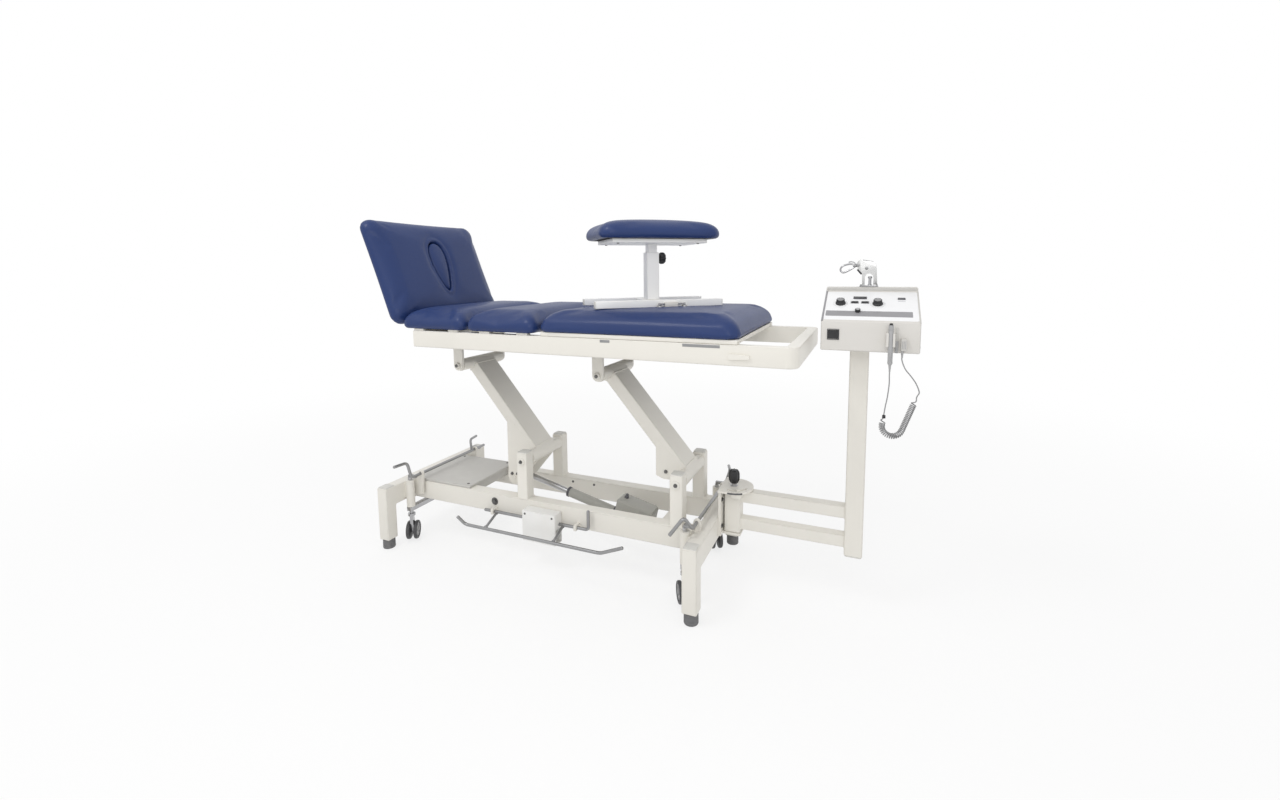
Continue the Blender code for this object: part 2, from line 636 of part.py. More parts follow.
# Pedal bars, caster carriers, forks and twin wheels
for side, label in ((-1, "left"), (1, "right")):
    pedal = PEDAL_PLACES[label]
    sleeve_x = BASE_X + side * SLEEVE_X
    joint = body(f"{label}_pedal_joint", pedal)
    if side < 0:
        front = [(pedal.x - 0.024, -0.285, pedal.z + 0.062), (pedal.x - 0.014, -0.228, pedal.z + 0.063)]
        back = [(pedal.x, 0.145, pedal.z), (pedal.x - 0.010, 0.150, pedal.z + 0.050),
                (pedal.x - 0.016, 0.200, pedal.z + 0.052)]
    else:
        front = [(pedal.x - 0.062, -0.265, pedal.z - 0.012), (pedal.x - 0.020, -0.246, pedal.z + 0.046)]
        back = [(pedal.x, 0.228, pedal.z), (pedal.x + 0.012, 0.235, pedal.z + 0.040),
                (pedal.x - 0.002, 0.272, pedal.z + 0.044)]
    add = [bent_rod([*front, (pedal.x, -0.222, pedal.z), (pedal.x, 0.232, pedal.z)], PEDAL_DIAMETER, 0.016),
           bent_rod(back, PEDAL_DIAMETER - 0.001, 0.014)]
    for hand in (-1, 1):
        add.append(block((sleeve_x - 0.004, hand * CASTER_Y - 0.006, pedal.z - PEDAL_OVER_STEM + GAP),
                         (pedal.x + 0.003, hand * CASTER_Y + 0.006, pedal.z + 0.002), 0.001))
    solid(f"{label}_pedal_bar", STEEL, joint, add)

    bar_top = SLEEVE_BOTTOM - GAP
    bar_bottom = bar_top - CARRIER_HEIGHT
    stem_bottom = bar_bottom - 0.010
    stem_top = pedal.z - PEDAL_OVER_STEM
    carrier = body(f"{label}_carrier_joint", (sleeve_x, 0.0, bar_bottom))
    add = [block((sleeve_x - 0.012, -CASTER_Y - 0.014, bar_bottom),
                 (sleeve_x + 0.012, CASTER_Y + 0.014, bar_top), 0.002)]
    cut = []
    for hand in (-1, 1):
        add.append(rod((sleeve_x, hand * CASTER_Y, stem_bottom), (sleeve_x, hand * CASTER_Y, stem_top),
                       STEM_DIAMETER))
        cut.append(rod((sleeve_x, hand * CASTER_Y, stem_bottom - 0.01),
                       (sleeve_x, hand * CASTER_Y, stem_bottom + 0.026),
                       FORK_PIN_DIAMETER + 2 * PIN_CLEAR, 12))
    solid(f"{label}_caster_carrier", STEEL, carrier, add, cut)

    for hand, row in ((-1, "front"), (1, "back")):
        fork_top = stem_bottom - GAP
        axle_z = WHEEL_DIAMETER / 2 + WHEEL_LIFT
        swivel = body(f"{row}_{label}_swivel", (sleeve_x, hand * CASTER_Y, axle_z), carrier)
        yaw = FORK_YAW - 90
        trail = Matrix.Rotation(math.radians(yaw), 3, "Z") @ Vector((-CASTER_TRAIL, 0.0, 0.0))
        wheel_joint = body(f"{row}_{label}_axle", Vector((sleeve_x, hand * CASTER_Y, axle_z)) + trail, swivel)
        outline = [(-0.012, fork_top - axle_z), (-CASTER_TRAIL - 0.010, 0.016),
                   *arc((-CASTER_TRAIL, 0.0), 0.010, 170, 360, 6),
                   (0.006, 0.03), (0.012, fork_top - axle_z)]
        add = [prism(outline, "Y", -FORK_WIDTH / 2, FORK_WIDTH / 2),
               rod((0, 0, fork_top - axle_z - 0.010), (0, 0, fork_top - axle_z), 0.030, 12),
               rod((0, 0, fork_top - axle_z - 0.004), (0, 0, fork_top - axle_z + 0.024),
                   FORK_PIN_DIAMETER, 12)]
        cut = [rod((-CASTER_TRAIL, -0.02, 0), (-CASTER_TRAIL, 0.02, 0), AXLE_DIAMETER + 2 * PIN_CLEAR, 12)]
        add = [turned_about(shape, yaw, "Z") for shape in add]
        cut = [turned_about(shape, yaw, "Z") for shape in cut]
        solid(f"{row}_{label}_caster_fork", CHROME, swivel, add, cut, local=True)
        half = WHEEL_SPAN / 2
        hub = FORK_WIDTH / 2 + SIDE_CLEAR
        rim = WHEEL_DIAMETER / 2
        profile = [(rim - 0.004, -half), (rim, -half + 0.003), (rim, -hub - 0.003), (rim - 0.004, -hub),
                   (AXLE_DIAMETER / 2, -hub), (AXLE_DIAMETER / 2, hub), (rim - 0.004, hub),
                   (rim, hub + 0.003),
                   (rim, half - 0.003), (rim - 0.004, half)]
        wheel = turned_about(turned(profile, (0, 0, 0), (0, 1, 0), 16), yaw, "Z")
        solid(f"{row}_{label}_caster_wheel", BLACK, wheel_joint, [wheel], (), local=True)

# Lift arms, each with hubs, a box tube and gusset plates
along = ARM_VECTOR.normalized()
across = Vector((along.z, 0.0, -along.x))
half = across * ARM_DEPTH / 2
for pivot, label in ((LEFT_PIVOT, "left"), (RIGHT_PIVOT, "right")):
    joint = body(f"{label}_lift_joint", pivot)
    top = pivot + ARM_VECTOR
    corners = [pivot - half, top - half, top + half, pivot + half]
    hub = POST_INNER - SIDE_CLEAR
    upper_hub = HANGER_Y - HANGER_THICKNESS / 2 - SIDE_CLEAR
    pin_end = HANGER_Y + HANGER_THICKNESS / 2 + SIDE_CLEAR
    pin = UPPER_PIN_DIAMETER / 2
    add = [prism([(corner.x, corner.z) for corner in corners], "Y", -ARM_WIDTH / 2, ARM_WIDTH / 2, 0.004),
           rod((pivot.x, -hub, pivot.z), (pivot.x, hub, pivot.z), LOWER_HUB_DIAMETER, 16),
           turned([(pin + 0.002, -pin_end - 0.008), (pin + 0.004, -pin_end - 0.006),
                   (pin + 0.004, -pin_end), (pin, -pin_end),
                   (pin, -upper_hub), (UPPER_HUB_DIAMETER / 2, -upper_hub),
                   (UPPER_HUB_DIAMETER / 2, upper_hub),
                   (pin, upper_hub), (pin, pin_end), (pin + 0.004, pin_end), (pin + 0.004, pin_end + 0.006),
                   (pin + 0.002, pin_end + 0.008)], top, (0, 1, 0), 16)]
    if label == "left":
        web = [(-0.129, 0.143), (-0.130, -0.080), *arc(ROD_PIN_OFFSET, 0.031, 180, 315, 6),
               (0.010, -0.024), (-0.040, 0.060)]
        lowest = ROD_PIN_OFFSET
        add.append(rod((pivot.x + lowest[0], -ARM_WIDTH / 2 - 0.004, pivot.z + lowest[1]),
                       (pivot.x + lowest[0], ARM_WIDTH / 2 + 0.004, pivot.z + lowest[1]),
                       ROD_PIN_DIAMETER, 12))
    else:
        web = [(-0.108, 0.122), (-0.108, -0.012), (-0.080, -0.022), (0.000, -0.022), (-0.040, 0.060)]
    web = [(pivot.x + x, pivot.z + z) for x, z in web]
    for hand in (-1, 1):
        face = hand * (ARM_WIDTH / 2 + 0.0005)
        add.append(prism(web, "Y", *sorted((face, face - hand * GUSSET_THICKNESS))))
    cut = [rod((pivot.x, -hub - 0.01, pivot.z), (pivot.x, hub + 0.01, pivot.z),
               LOWER_SHAFT_DIAMETER + 2 * PIN_CLEAR, 12)]
    solid(f"{label}_lift_arm", IVORY, joint, add, cut)

# Actuator body and its rod, drawn along +X and turned onto the line between the two pins
actuator = body("actuator_joint", ACTUATOR_PIVOT, None, (0.0, -ACTUATOR_ANGLE, 0.0))
rod_body = body("actuator_rod_joint", ACTUATOR_PIVOT, None, (0.0, -ACTUATOR_ANGLE, 0.0))
eye_half = lug_gap - SIDE_CLEAR
bore_start = MOTOR_LENGTH + 0.045
solid("actuator_body", GREY, actuator,
      [rod((0, -eye_half, 0), (0, eye_half, 0), 0.030, 12),
       block((0.008, -0.012, -0.012), (0.05, 0.012, 0.012)),
       block((0.03, -MOTOR_WIDTH / 2, 0.024 - MOTOR_HEIGHT),
             (0.03 + MOTOR_LENGTH, MOTOR_WIDTH / 2, 0.024), 0.008),
       rod((0.10, 0, 0), (ACTUATOR_TUBE_END, 0, 0), ACTUATOR_TUBE_DIAMETER, 12)],
      [rod((0, -0.03, 0), (0, 0.03, 0), ROD_PIN_DIAMETER + 2 * PIN_CLEAR, 12),
       rod((bore_start, 0, 0), (ACTUATOR_TUBE_END + 0.01, 0, 0), ACTUATOR_ROD_DIAMETER + 2 * PIN_CLEAR,
           12)], local=True)
tip = ACTUATOR_LENGTH
solid("actuator_rod", STEEL, rod_body,
      [rod((bore_start + 0.150, 0, 0), (tip - 0.016, 0, 0), ACTUATOR_ROD_DIAMETER, 12),
       block((tip - 0.030, -0.010, -0.022), (tip + 0.020, 0.010, 0.034), 0.004)],
      [block((tip - 0.0095, -0.02, -0.0135), (tip + 0.0095, 0.02, 0.0255))], local=True)

# Table frame: rails, cross members, hangers, cushion pads and the head hinge arms
table = body("table_joint", UPPER_PIVOT)
half_width = FRAME_WIDTH / 2
round_end = FRAME_TUBE
outline = [(FRAME_LEFT, half_width), (FRAME_LEFT, -half_width),
           *arc((FRAME_RIGHT - round_end, -half_width + round_end), round_end, -90, 0, 5),
           *arc((FRAME_RIGHT - round_end, half_width - round_end), round_end, 0, 90, 5)]
inside = block((FRAME_LEFT + FRAME_TUBE, -RAIL_INSIDE, FRAME_BOTTOM - 0.1),
               (FRAME_RIGHT - FRAME_TUBE, RAIL_INSIDE, FRAME_TOP + 0.1))
ring = bmesh.new()
ring.from_mesh(combined([prism(outline, "Z", FRAME_BOTTOM, FRAME_TOP, 0.003)], [inside]))
add = [ring]
cut = []
for x in (UPPER_PIVOT.x, UPPER_PIVOT.x + PIVOT_SPACING):
    add.append(block((x - 0.020, -RAIL_INSIDE - WELD, FRAME_BOTTOM + 0.006),
                     (x + 0.020, RAIL_INSIDE + WELD, FRAME_TOP - 0.015), 0.002))
    for hand in (-1, 1):
        plate = [*plate_round(x, UPPER_PIVOT.z, HANGER_WIDTH / 2),
                 (x + HANGER_WIDTH / 2, FRAME_BOTTOM + 0.020),
                 (x - HANGER_WIDTH / 2, FRAME_BOTTOM + 0.020)]
        low = hand * HANGER_Y - HANGER_THICKNESS / 2
        add.append(prism(plate, "Y", low, low + HANGER_THICKNESS))
        cut.append(rod((x, low - 0.01, UPPER_PIVOT.z), (x, low + HANGER_THICKNESS + 0.01, UPPER_PIVOT.z),
                             UPPER_PIN_DIAMETER + 2 * PIN_CLEAR, 16))
for left, length in ((CHEST_LEFT, CHEST_LENGTH), (LUMBAR_LEFT, LUMBAR_LENGTH)):
    for x in (left + 0.080, left + length - 0.055):
        for hand in (-1, 1):
            y = hand * (half_width - FRAME_TUBE / 2)
            add.append(block((x - 0.022, y - 0.010, FRAME_TOP - WELD),
                             (x + 0.022, y + 0.010, FRAME_TOP + PAD_HEIGHT)))
for hand in (-1, 1):
    knuckle = (HEAD_HINGE.x, HEAD_HINGE.z)
    outline = [(FRAME_LEFT + 0.012, FRAME_BOTTOM + 0.006), (FRAME_LEFT + 0.012, HEAD_HINGE.z - 0.032),
               (knuckle[0] + 0.010, HEAD_HINGE.z - 0.032), *arc(knuckle, 0.010, 0, 180, 6),
               (knuckle[0] - 0.010, FRAME_BOTTOM + 0.016), (knuckle[0], FRAME_BOTTOM + 0.006)]
    add.append(prism(outline, "Y", *sorted((hand * 0.094, hand * 0.106))))
    cut.append(rod((*knuckle[:1], hand * 0.08, knuckle[1]), (*knuckle[:1], hand * 0.12, knuckle[1]),
                         HEAD_PIN_DIAMETER + 2 * PIN_CLEAR, 12))
LEVER_X = FRAME_RIGHT - 0.190
LEVER_Z = FRAME_BOTTOM + 0.028
cut.append(rod((LEVER_X, -half_width - 0.01, LEVER_Z), (LEVER_X, -half_width + 0.014, LEVER_Z),
               0.008 + 2 * PIN_CLEAR, 12))
solid("table_frame", IVORY, table, add, cut)

# Lock lever of the rolling section on the front rail
lever = body("section_lock_joint", (LEVER_X, -half_width, LEVER_Z), table)
face = -half_width - GAP
solid("section_lock_lever", IVORY, lever, [
    prism([*arc((LEVER_X, LEVER_Z), 0.009, 90, 270, 6),
           *arc((LEVER_X + 0.050, LEVER_Z), 0.006, -90, 90, 6)], "Y", face - 0.006, face),
    rod((LEVER_X, face - 0.003, LEVER_Z), (LEVER_X, -half_width + 0.012, LEVER_Z), 0.008, 12)])

# Chest and lumbar cushions
for name, left, length in (("chest_cushion", CHEST_LEFT, CHEST_LENGTH),
                           ("lumbar_cushion", LUMBAR_LEFT, LUMBAR_LENGTH)):
    pad = cushion(length, CUSHION_WIDTH, CUSHION_THICKNESS, 0.030)
    solid(name, NAVY, table, [moved(pad, left + length / 2, 0.0, FRAME_TOP + PAD_HEIGHT + GAP)])

# Rolling leg section
leg_section = body("leg_section_joint", (LEG_LEFT, 0.0, FRAME_TOP), table)
low = FRAME_TOP + GAP
high = low + CARRIAGE_HEIGHT
left = LEG_LEFT + 0.016
right = LEG_RIGHT - 0.010
channel = half_width - 0.005
add = []
for hand in (-1, 1):
    add.append(block((left, *sorted((hand * (RAIL_INSIDE - 0.010), hand * channel))[:1], low),
                     (right, *sorted((hand * (RAIL_INSIDE - 0.010), hand * channel))[1:], high), 0.002))
    for x in (left + 0.05, right - 0.20):
        y = sorted((hand * (RAIL_INSIDE - 0.009), hand * (RAIL_INSIDE - 0.001)))
        add.append(block((x, y[0], FRAME_TOP - 0.012), (x + 0.15, y[1], low + 0.004)))
for x in (left + 0.002, right - 0.032):
    add.append(block((x, -RAIL_INSIDE, low + 0.001), (x + 0.030, RAIL_INSIDE, high - 0.001)))
solid("leg_carriage", IVORY, leg_section, add)
pad = cushion(LEG_LENGTH, CUSHION_WIDTH, LEG_THICKNESS, 0.030)
solid("leg_cushion", NAVY, leg_section, [moved(pad, (LEG_LEFT + LEG_RIGHT) / 2, 0.0, LEG_BOTTOM)])

# Head support and its cushion, drawn flat about the hinge and raised by the joint's empty
head = body("head_joint", HEAD_HINGE, None, (0.0, HEAD_ANGLE, 0.0))
bar_low = HEAD_OFFSET - GAP - 0.0065
bar_high = HEAD_OFFSET - GAP
add = [rod((0, -0.136, 0), (0, 0.136, 0), HEAD_PIN_DIAMETER, 12)]
for hand in (-1, 1):
    y = sorted((hand * (0.106 + SIDE_CLEAR), hand * 0.136))
    add.append(rod((0, y[0], 0), (0, y[1], 0), 0.018, 12))
    add.append(block((HEAD_NOSE - HEAD_LENGTH + 0.06, y[0] + 0.001, bar_low),
                     (0.009, y[1] - 0.001, bar_high)))
for x in (HEAD_NOSE - HEAD_LENGTH + 0.062, -0.085):
    add.append(block((x, -0.120, bar_low + 0.001), (x + 0.035, 0.120, bar_high - 0.0005)))
solid("head_support", IVORY, head, add, local=True)
pad = cushion(HEAD_LENGTH, CUSHION_WIDTH, HEAD_THICKNESS, 0.045, slot_outline(0.0))
solid("head_cushion", NAVY, head, [moved(pad, HEAD_NOSE - HEAD_LENGTH / 2, 0.0, HEAD_OFFSET)], local=True)

# Padded plug that fills the face slot and lifts out along the cushion's normal
plug = body("face_plug_joint", HEAD_HINGE, None, (0.0, HEAD_ANGLE, 0.0))
shape = bmesh.new()
rings = []
for inset, height in ((0.004, 0.004), (0.0, 0.010), (0.0, HEAD_THICKNESS - 0.016),
                      (0.003, HEAD_THICKNESS - 0.007), (0.010, HEAD_THICKNESS - 0.001)):
    rings.append([shape.verts.new((x, y, height)) for x, y in slot_outline(GAP + inset)])
shape.faces.new(rings[0])
stitch(shape, rings[-1], [shape.verts.new((SLOT_SHIFT, 0.0, HEAD_THICKNESS + 0.003))])
for ring, above in zip(rings, rings[1:]):
    stitch(shape, ring, above)
bmesh.ops.recalc_face_normals(shape, faces=shape.faces)
solid("face_slot_plug", NAVY, plug, [moved(shape, HEAD_NOSE - HEAD_LENGTH / 2, 0.0, HEAD_OFFSET)], local=True)

# Bracket for the traction stand on the right leg frame
pivot = STAND_PIVOT
web = BASE_X + LEG_X + LEG_SIDE / 2 + GAP
plate_low = STAND_PLATE_HEIGHT
plate_high = plate_low + STAND_PLATE_THICKNESS
outline = [(web + 0.002, 0.068), (web + 0.002, -0.068), *arc((pivot.x, 0.0), 0.068, -90, 90, 12)]
groove = STOP_DIAMETER / 2 + 0.0008
slot = [*arc((pivot.x, 0.0), STOP_RADIUS + groove, STOP_ANGLE - 44, STOP_ANGLE + 44, 12),
        *reversed(arc((pivot.x, 0.0), STOP_RADIUS - groove, STOP_ANGLE - 44, STOP_ANGLE + 44, 12))]
floor_low = STAND_FLOOR_HEIGHT
floor_high = floor_low + STAND_PLATE_THICKNESS
solid("stand_bracket", IVORY, None,
      [block((web, -0.050, floor_low - 0.002), (web + 0.010, 0.050, plate_high - 0.002)),
       prism(outline, "Z", plate_low, plate_high),
       block((web + 0.002, -0.030, floor_low), (pivot.x + 0.030, 0.030, floor_high))],
      [rod((pivot.x, 0, plate_low - 0.01), (pivot.x, 0, plate_high + 0.01),
           STAND_STUD_DIAMETER + 2 * PIN_CLEAR, 12),
       rod((pivot.x, 0, floor_low - 0.01), (pivot.x, 0, floor_high + 0.01), 0.014 + 2 * PIN_CLEAR, 12),
       prism(slot, "Z", plate_low - 0.01, plate_high + 0.01)])

# Swivelling stand: pivot block, two arms and the post
stand = body("stand_joint", pivot)
block_low = floor_high + GAP
block_high = plate_low - GAP
half_block = STAND_BLOCK_LENGTH / 2
stop = (pivot.x + STOP_RADIUS * math.cos(math.radians(STOP_ANGLE)),
        STOP_RADIUS * math.sin(math.radians(STOP_ANGLE)))
half_arm = STAND_ARM / 2
half_post = POST_WIDTH / 2
add = [block((pivot.x - half_block, -half_block, block_low),
             (pivot.x + half_block, half_block, block_high), 0.003),
       block((pivot.x, stop[1] - 0.012, block_high - 0.018),
             (stop[0] + 0.012, -half_block + 0.010, block_high - 0.0004), 0.002),
       rod((*stop, block_high - 0.010), (*stop, plate_high + 0.003), STOP_DIAMETER, 12),
       rod((*stop, plate_high + GAP), (*stop, plate_high + 0.006), STOP_DIAMETER + 0.008, 12),
       rod((pivot.x, 0, floor_low - 0.003), (pivot.x, 0, block_low + 0.010), 0.014, 12),
       block((pivot.x + half_block - WELD, -half_arm, block_high - 0.002 - STAND_ARM),
             (POST_X, half_arm, block_high - 0.002), 0.003),
       block((pivot.x + half_block - WELD, -half_arm, block_low + 0.013),
             (POST_X, half_arm, block_low + 0.013 + STAND_ARM), 0.003),
       block((POST_X - half_post, -half_post, POST_BOTTOM),
             (POST_X + half_post, half_post, CONSOLE_BOTTOM - GAP), 0.004)]
cut = [rod((pivot.x, 0, block_high - 0.040), (pivot.x, 0, block_high + 0.01),
           STAND_STUD_DIAMETER + 2 * PIN_CLEAR, 12)]
solid("stand_frame", IVORY, stand, add, cut)

# Clamp knob on the swivel axis
knob = body("stand_knob_joint", (pivot.x, 0.0, plate_high), stand)
profile = [(STAND_STUD_DIAMETER / 2, block_high - 0.035), (STAND_STUD_DIAMETER / 2, plate_high + GAP),
           (0.014, plate_high + GAP),
           (0.014, plate_high + 0.008), (0.018, plate_high + 0.012), (0.020, plate_high + 0.030),
           (0.018, plate_high + 0.050),
           (0.013, plate_high + 0.057)]
solid("stand_clamp_knob", BLACK, knob, [turned(profile, (pivot.x, 0, 0), (0, 0, 1), 12)])

# Console housing: wedge body, clip for the hand switch, cord socket, and the seats of its controls
console_left = POST_X - CONSOLE_LEFT
console_right = POST_X + CONSOLE_RIGHT
front = -CONSOLE_FRONT
lip = Vector((0.0, front, CONSOLE_LIP))
crest = Vector((0.0, 0.055, CONSOLE_TOP - 0.0125))
slope = (crest - lip).normalized()
normal = Vector((0.0, -slope.z, slope.y))
tilt = math.degrees(math.atan2(slope.z, slope.y))
SWITCH = Vector((POST_X + 0.084, front - 0.020, CONSOLE_BOTTOM - 0.032))
SOCKET = Vector((POST_X + 0.119, front - 0.008, CONSOLE_BOTTOM + 0.008))


def on_panel(x, distance):
    """A point on the sloped panel, measured up from its lower edge."""
    return Vector((POST_X + x, 0.0, 0.0)) + lip + slope * distance


outline = [(front, CONSOLE_BOTTOM), (CONSOLE_BACK, CONSOLE_BOTTOM), (CONSOLE_BACK, CONSOLE_TOP),
           (0.062, CONSOLE_TOP),
           (crest.y, crest.z), (front, CONSOLE_LIP)]
clip_low = CONSOLE_BOTTOM + 0.020
add = [prism(outline, "X", console_left, console_right, 0.003),
       block((SWITCH.x - 0.012, SWITCH.y - 0.006, clip_low),
             (SWITCH.x + 0.012, front + WELD, clip_low + 0.040), 0.001),
       block((SOCKET.x - 0.007, front - 0.015, SOCKET.z),
             (SOCKET.x + 0.007, front + WELD, SOCKET.z + 0.035), 0.002)]
cut = [rod((SWITCH.x, SWITCH.y, clip_low - 0.01), (SWITCH.x, SWITCH.y, clip_low + 0.06),
           SWITCH_DIAMETER + 2 * PIN_CLEAR, 12)]
dials = {"left_dial": on_panel(-0.060, 0.108), "right_dial": on_panel(0.047, 0.108)}
keys = {"left_key": on_panel(-0.019, 0.116), "right_key": on_panel(0.011, 0.116)}
for place in dials.values():
    cut.append(rod(place - normal * 0.012, place + normal * 0.01, DIAL_SHAFT_DIAMETER + 2 * PIN_CLEAR, 12))
key_pocket = (KEY_WIDTH / 2 + PIN_CLEAR, KEY_DEPTH / 2 + PIN_CLEAR)
for place in keys.values():
    pocket = block((-key_pocket[0], -key_pocket[1], -0.010), (key_pocket[0], key_pocket[1], 0.01))
    cut.append(moved(turned_about(pocket, tilt, "X"), *place))
rocker = Vector((POST_X - 0.0735, front + 0.003, CONSOLE_BOTTOM + 0.0485))
cut.append(block((rocker.x - 0.0155, front - 0.01, rocker.z - 0.0135),
                 (rocker.x + 0.0155, front + 0.014, rocker.z + 0.0135)))
solid("console_housing", WHITE, stand, add, cut)

# Dials, keys and the rocker
for name, place in dials.items():
    joint = body(f"{name}_joint", place, stand)
    radius = DIAL_DIAMETER / 2
    profile = [(DIAL_SHAFT_DIAMETER / 2, -0.010), (DIAL_SHAFT_DIAMETER / 2, GAP), (radius, GAP),
               (radius, 0.005),
               (radius - 0.003, 0.007), (radius - 0.004, DIAL_HEIGHT - 0.002), (radius - 0.006, DIAL_HEIGHT)]
    grip = block((-0.0025, -radius + 0.005, DIAL_HEIGHT - 0.004),
                 (0.0025, radius - 0.005, DIAL_HEIGHT + 0.004), 0.001)
    solid(name, BLACK, joint, [turned(profile, place, normal, 16),
                               moved(turned_about(grip, tilt, "X"), *place)])
for name, place in keys.items():
    joint = body(f"{name}_joint", place, stand)
    cap = block((-KEY_WIDTH / 2, -KEY_DEPTH / 2, -0.007), (KEY_WIDTH / 2, KEY_DEPTH / 2, 0.003), 0.0008)
    solid(name, BLACK, joint, [moved(turned_about(cap, tilt, "X"), *place)])
joint = body("power_rocker_joint", rocker, stand)
outline = [(-0.0065, -0.0128), (-0.0065, 0.0128), (0.0, 0.0130), (0.009, 0.0095), (0.009, -0.0095),
           (0.0, -0.0130)]
outline = [(rocker.y + y, rocker.z + z) for y, z in outline]
solid("power_rocker", BLACK, joint, [prism(outline, "X", rocker.x - 0.0150, rocker.x + 0.0150)])

# Rope head with its pulley and hook
rope_x = POST_X + 0.011
rope_y = (0.062 + CONSOLE_BACK) / 2
rope_low = CONSOLE_TOP + GAP
pulley_at = Vector((rope_x, rope_y, rope_low + 0.060))
hook_at = Vector((rope_x - 0.026, rope_y, rope_low + 0.070))
inside = PULLEY_WIDTH / 2 + SIDE_CLEAR
cheek = [(rope_x - 0.012, rope_low + 0.003), (rope_x + 0.030, rope_low + 0.003),
         (rope_x + 0.026, rope_low + 0.062),
         (rope_x + 0.016, rope_low + 0.082), (rope_x - 0.018, rope_low + 0.088),
         (rope_x - 0.031, rope_low + 0.074),
         (rope_x - 0.026, rope_low + 0.056), (rope_x - 0.012, rope_low + 0.040)]
add = [block((rope_x - 0.020, rope_y - 0.018, rope_low),
             (rope_x + 0.036, rope_y + 0.018, rope_low + 0.005), 0.001),
       rod((hook_at.x, rope_y - inside - 0.002, hook_at.z),
           (hook_at.x, rope_y + inside + 0.002, hook_at.z), 0.005, 12),
       block((rope_x + 0.022, rope_y - inside - 0.001, rope_low + 0.003),
             (rope_x + 0.025, rope_y + inside + 0.001, rope_low + 0.060))]
cut = []
for hand in (-1, 1):
    y = sorted((rope_y + hand * inside, rope_y + hand * (inside + CHEEK_THICKNESS)))
    add.append(prism(cheek, "Y", *y))
    cut.append(rod((pulley_at.x, y[0] - 0.002, pulley_at.z), (pulley_at.x, y[1] + 0.002, pulley_at.z),
                   0.006 + 2 * PIN_CLEAR, 12))
solid("rope_head", CHROME, stand, add, cut)
pulley = body("pulley_joint", pulley_at, stand)
rim = PULLEY_DIAMETER / 2
ends = inside + CHEEK_THICKNESS + 0.001
half = PULLEY_WIDTH / 2
solid("rope_pulley", GREY, pulley, [turned(
    [(0.003, -ends), (0.003, -half), (rim, -half), (rim, -half + 0.002), (rim - 0.005, 0.0),
     (rim, half - 0.002), (rim, half),
     (0.003, half), (0.003, ends)], pulley_at, (0, 1, 0), 12)])
hook = body("hook_joint", hook_at, stand)
eye_half = inside - 0.003
loop = [(hook_at.x - 0.010, rope_y, hook_at.z - 0.002), (hook_at.x - 0.022, rope_y, hook_at.z + 0.004),
        (hook_at.x - 0.046, rope_y, hook_at.z - 0.002), (hook_at.x - 0.054, rope_y, hook_at.z - 0.014),
        (hook_at.x - 0.046, rope_y, hook_at.z - 0.024), (hook_at.x - 0.030, rope_y, hook_at.z - 0.018),
        (hook_at.x - 0.009, rope_y, hook_at.z - 0.004)]
solid("rope_hook", CHROME, hook,
      [rod((hook_at.x, rope_y - eye_half, hook_at.z), (hook_at.x, rope_y + eye_half, hook_at.z), 0.012, 12),
       tube(smooth_path(loop, 3), 0.005, 1),
       rod((hook_at.x - 0.003, rope_y, hook_at.z - 0.001),
           (hook_at.x - 0.016, rope_y, hook_at.z - 0.003), 0.009, 12)],
      [rod((hook_at.x, rope_y - 0.02, hook_at.z), (hook_at.x, rope_y + 0.02, hook_at.z),
           0.005 + 2 * PIN_CLEAR, 12)])

# Hand switch and its button
switch_top = SWITCH.z + SWITCH_LENGTH
radius = SWITCH_DIAMETER / 2
solid("hand_switch", GREY, stand,
      [turned([(radius - 0.003, SWITCH.z), (radius, SWITCH.z + 0.004), (radius, switch_top - 0.003),
               (radius - 0.002, switch_top)],
              (SWITCH.x, SWITCH.y, 0), (0, 0, 1), 12)],
      [rod((SWITCH.x, SWITCH.y, switch_top - 0.009), (SWITCH.x, SWITCH.y, switch_top + 0.01),
           0.009 + 2 * PIN_CLEAR, 12)])
button = body("hand_switch_joint", (SWITCH.x, SWITCH.y, switch_top), stand)
solid("hand_switch_button", BLACK, button, [turned(
    [(0.0045, switch_top - 0.006), (0.0045, switch_top + 0.004), (0.0032, switch_top + 0.0055)],
    (SWITCH.x, SWITCH.y, 0), (0, 0, 1), 12)])

# Cord: a plain lead from the hand switch, a curled stretch and a plain tail to the socket
cord_y = (SWITCH.y + SOCKET.y) / 2
straight = CORD_DIAMETER
bend_at = (POST_X + 0.0765 + CURL_BEND, CONSOLE_BOTTOM - 0.2185)
fine = [Vector((x, cord_y, z)) for x, z in arc(bend_at, CURL_BEND, 180, 345, 60)]
fine.insert(0, fine[0] + Vector((0.0, 0.0, CURL_DROP)))
heading = (fine[-1] - fine[-2]).normalized()
fine.append(fine[-1] + heading * CURL_RISE)
lengths = [0.0]
for a, b in zip(fine, fine[1:]):
    lengths.append(lengths[-1] + (b - a).length)
total = lengths[-1]


def along_axis(distance):
    """The place and the direction of the curls' middle line at a distance from its start."""
    i = 1
    while i < len(lengths) - 1 and lengths[i] < distance:
        i += 1
    t = (distance - lengths[i - 1]) / (lengths[i] - lengths[i - 1])
    return fine[i - 1].lerp(fine[i], t), (fine[i] - fine[i - 1]).normalized()


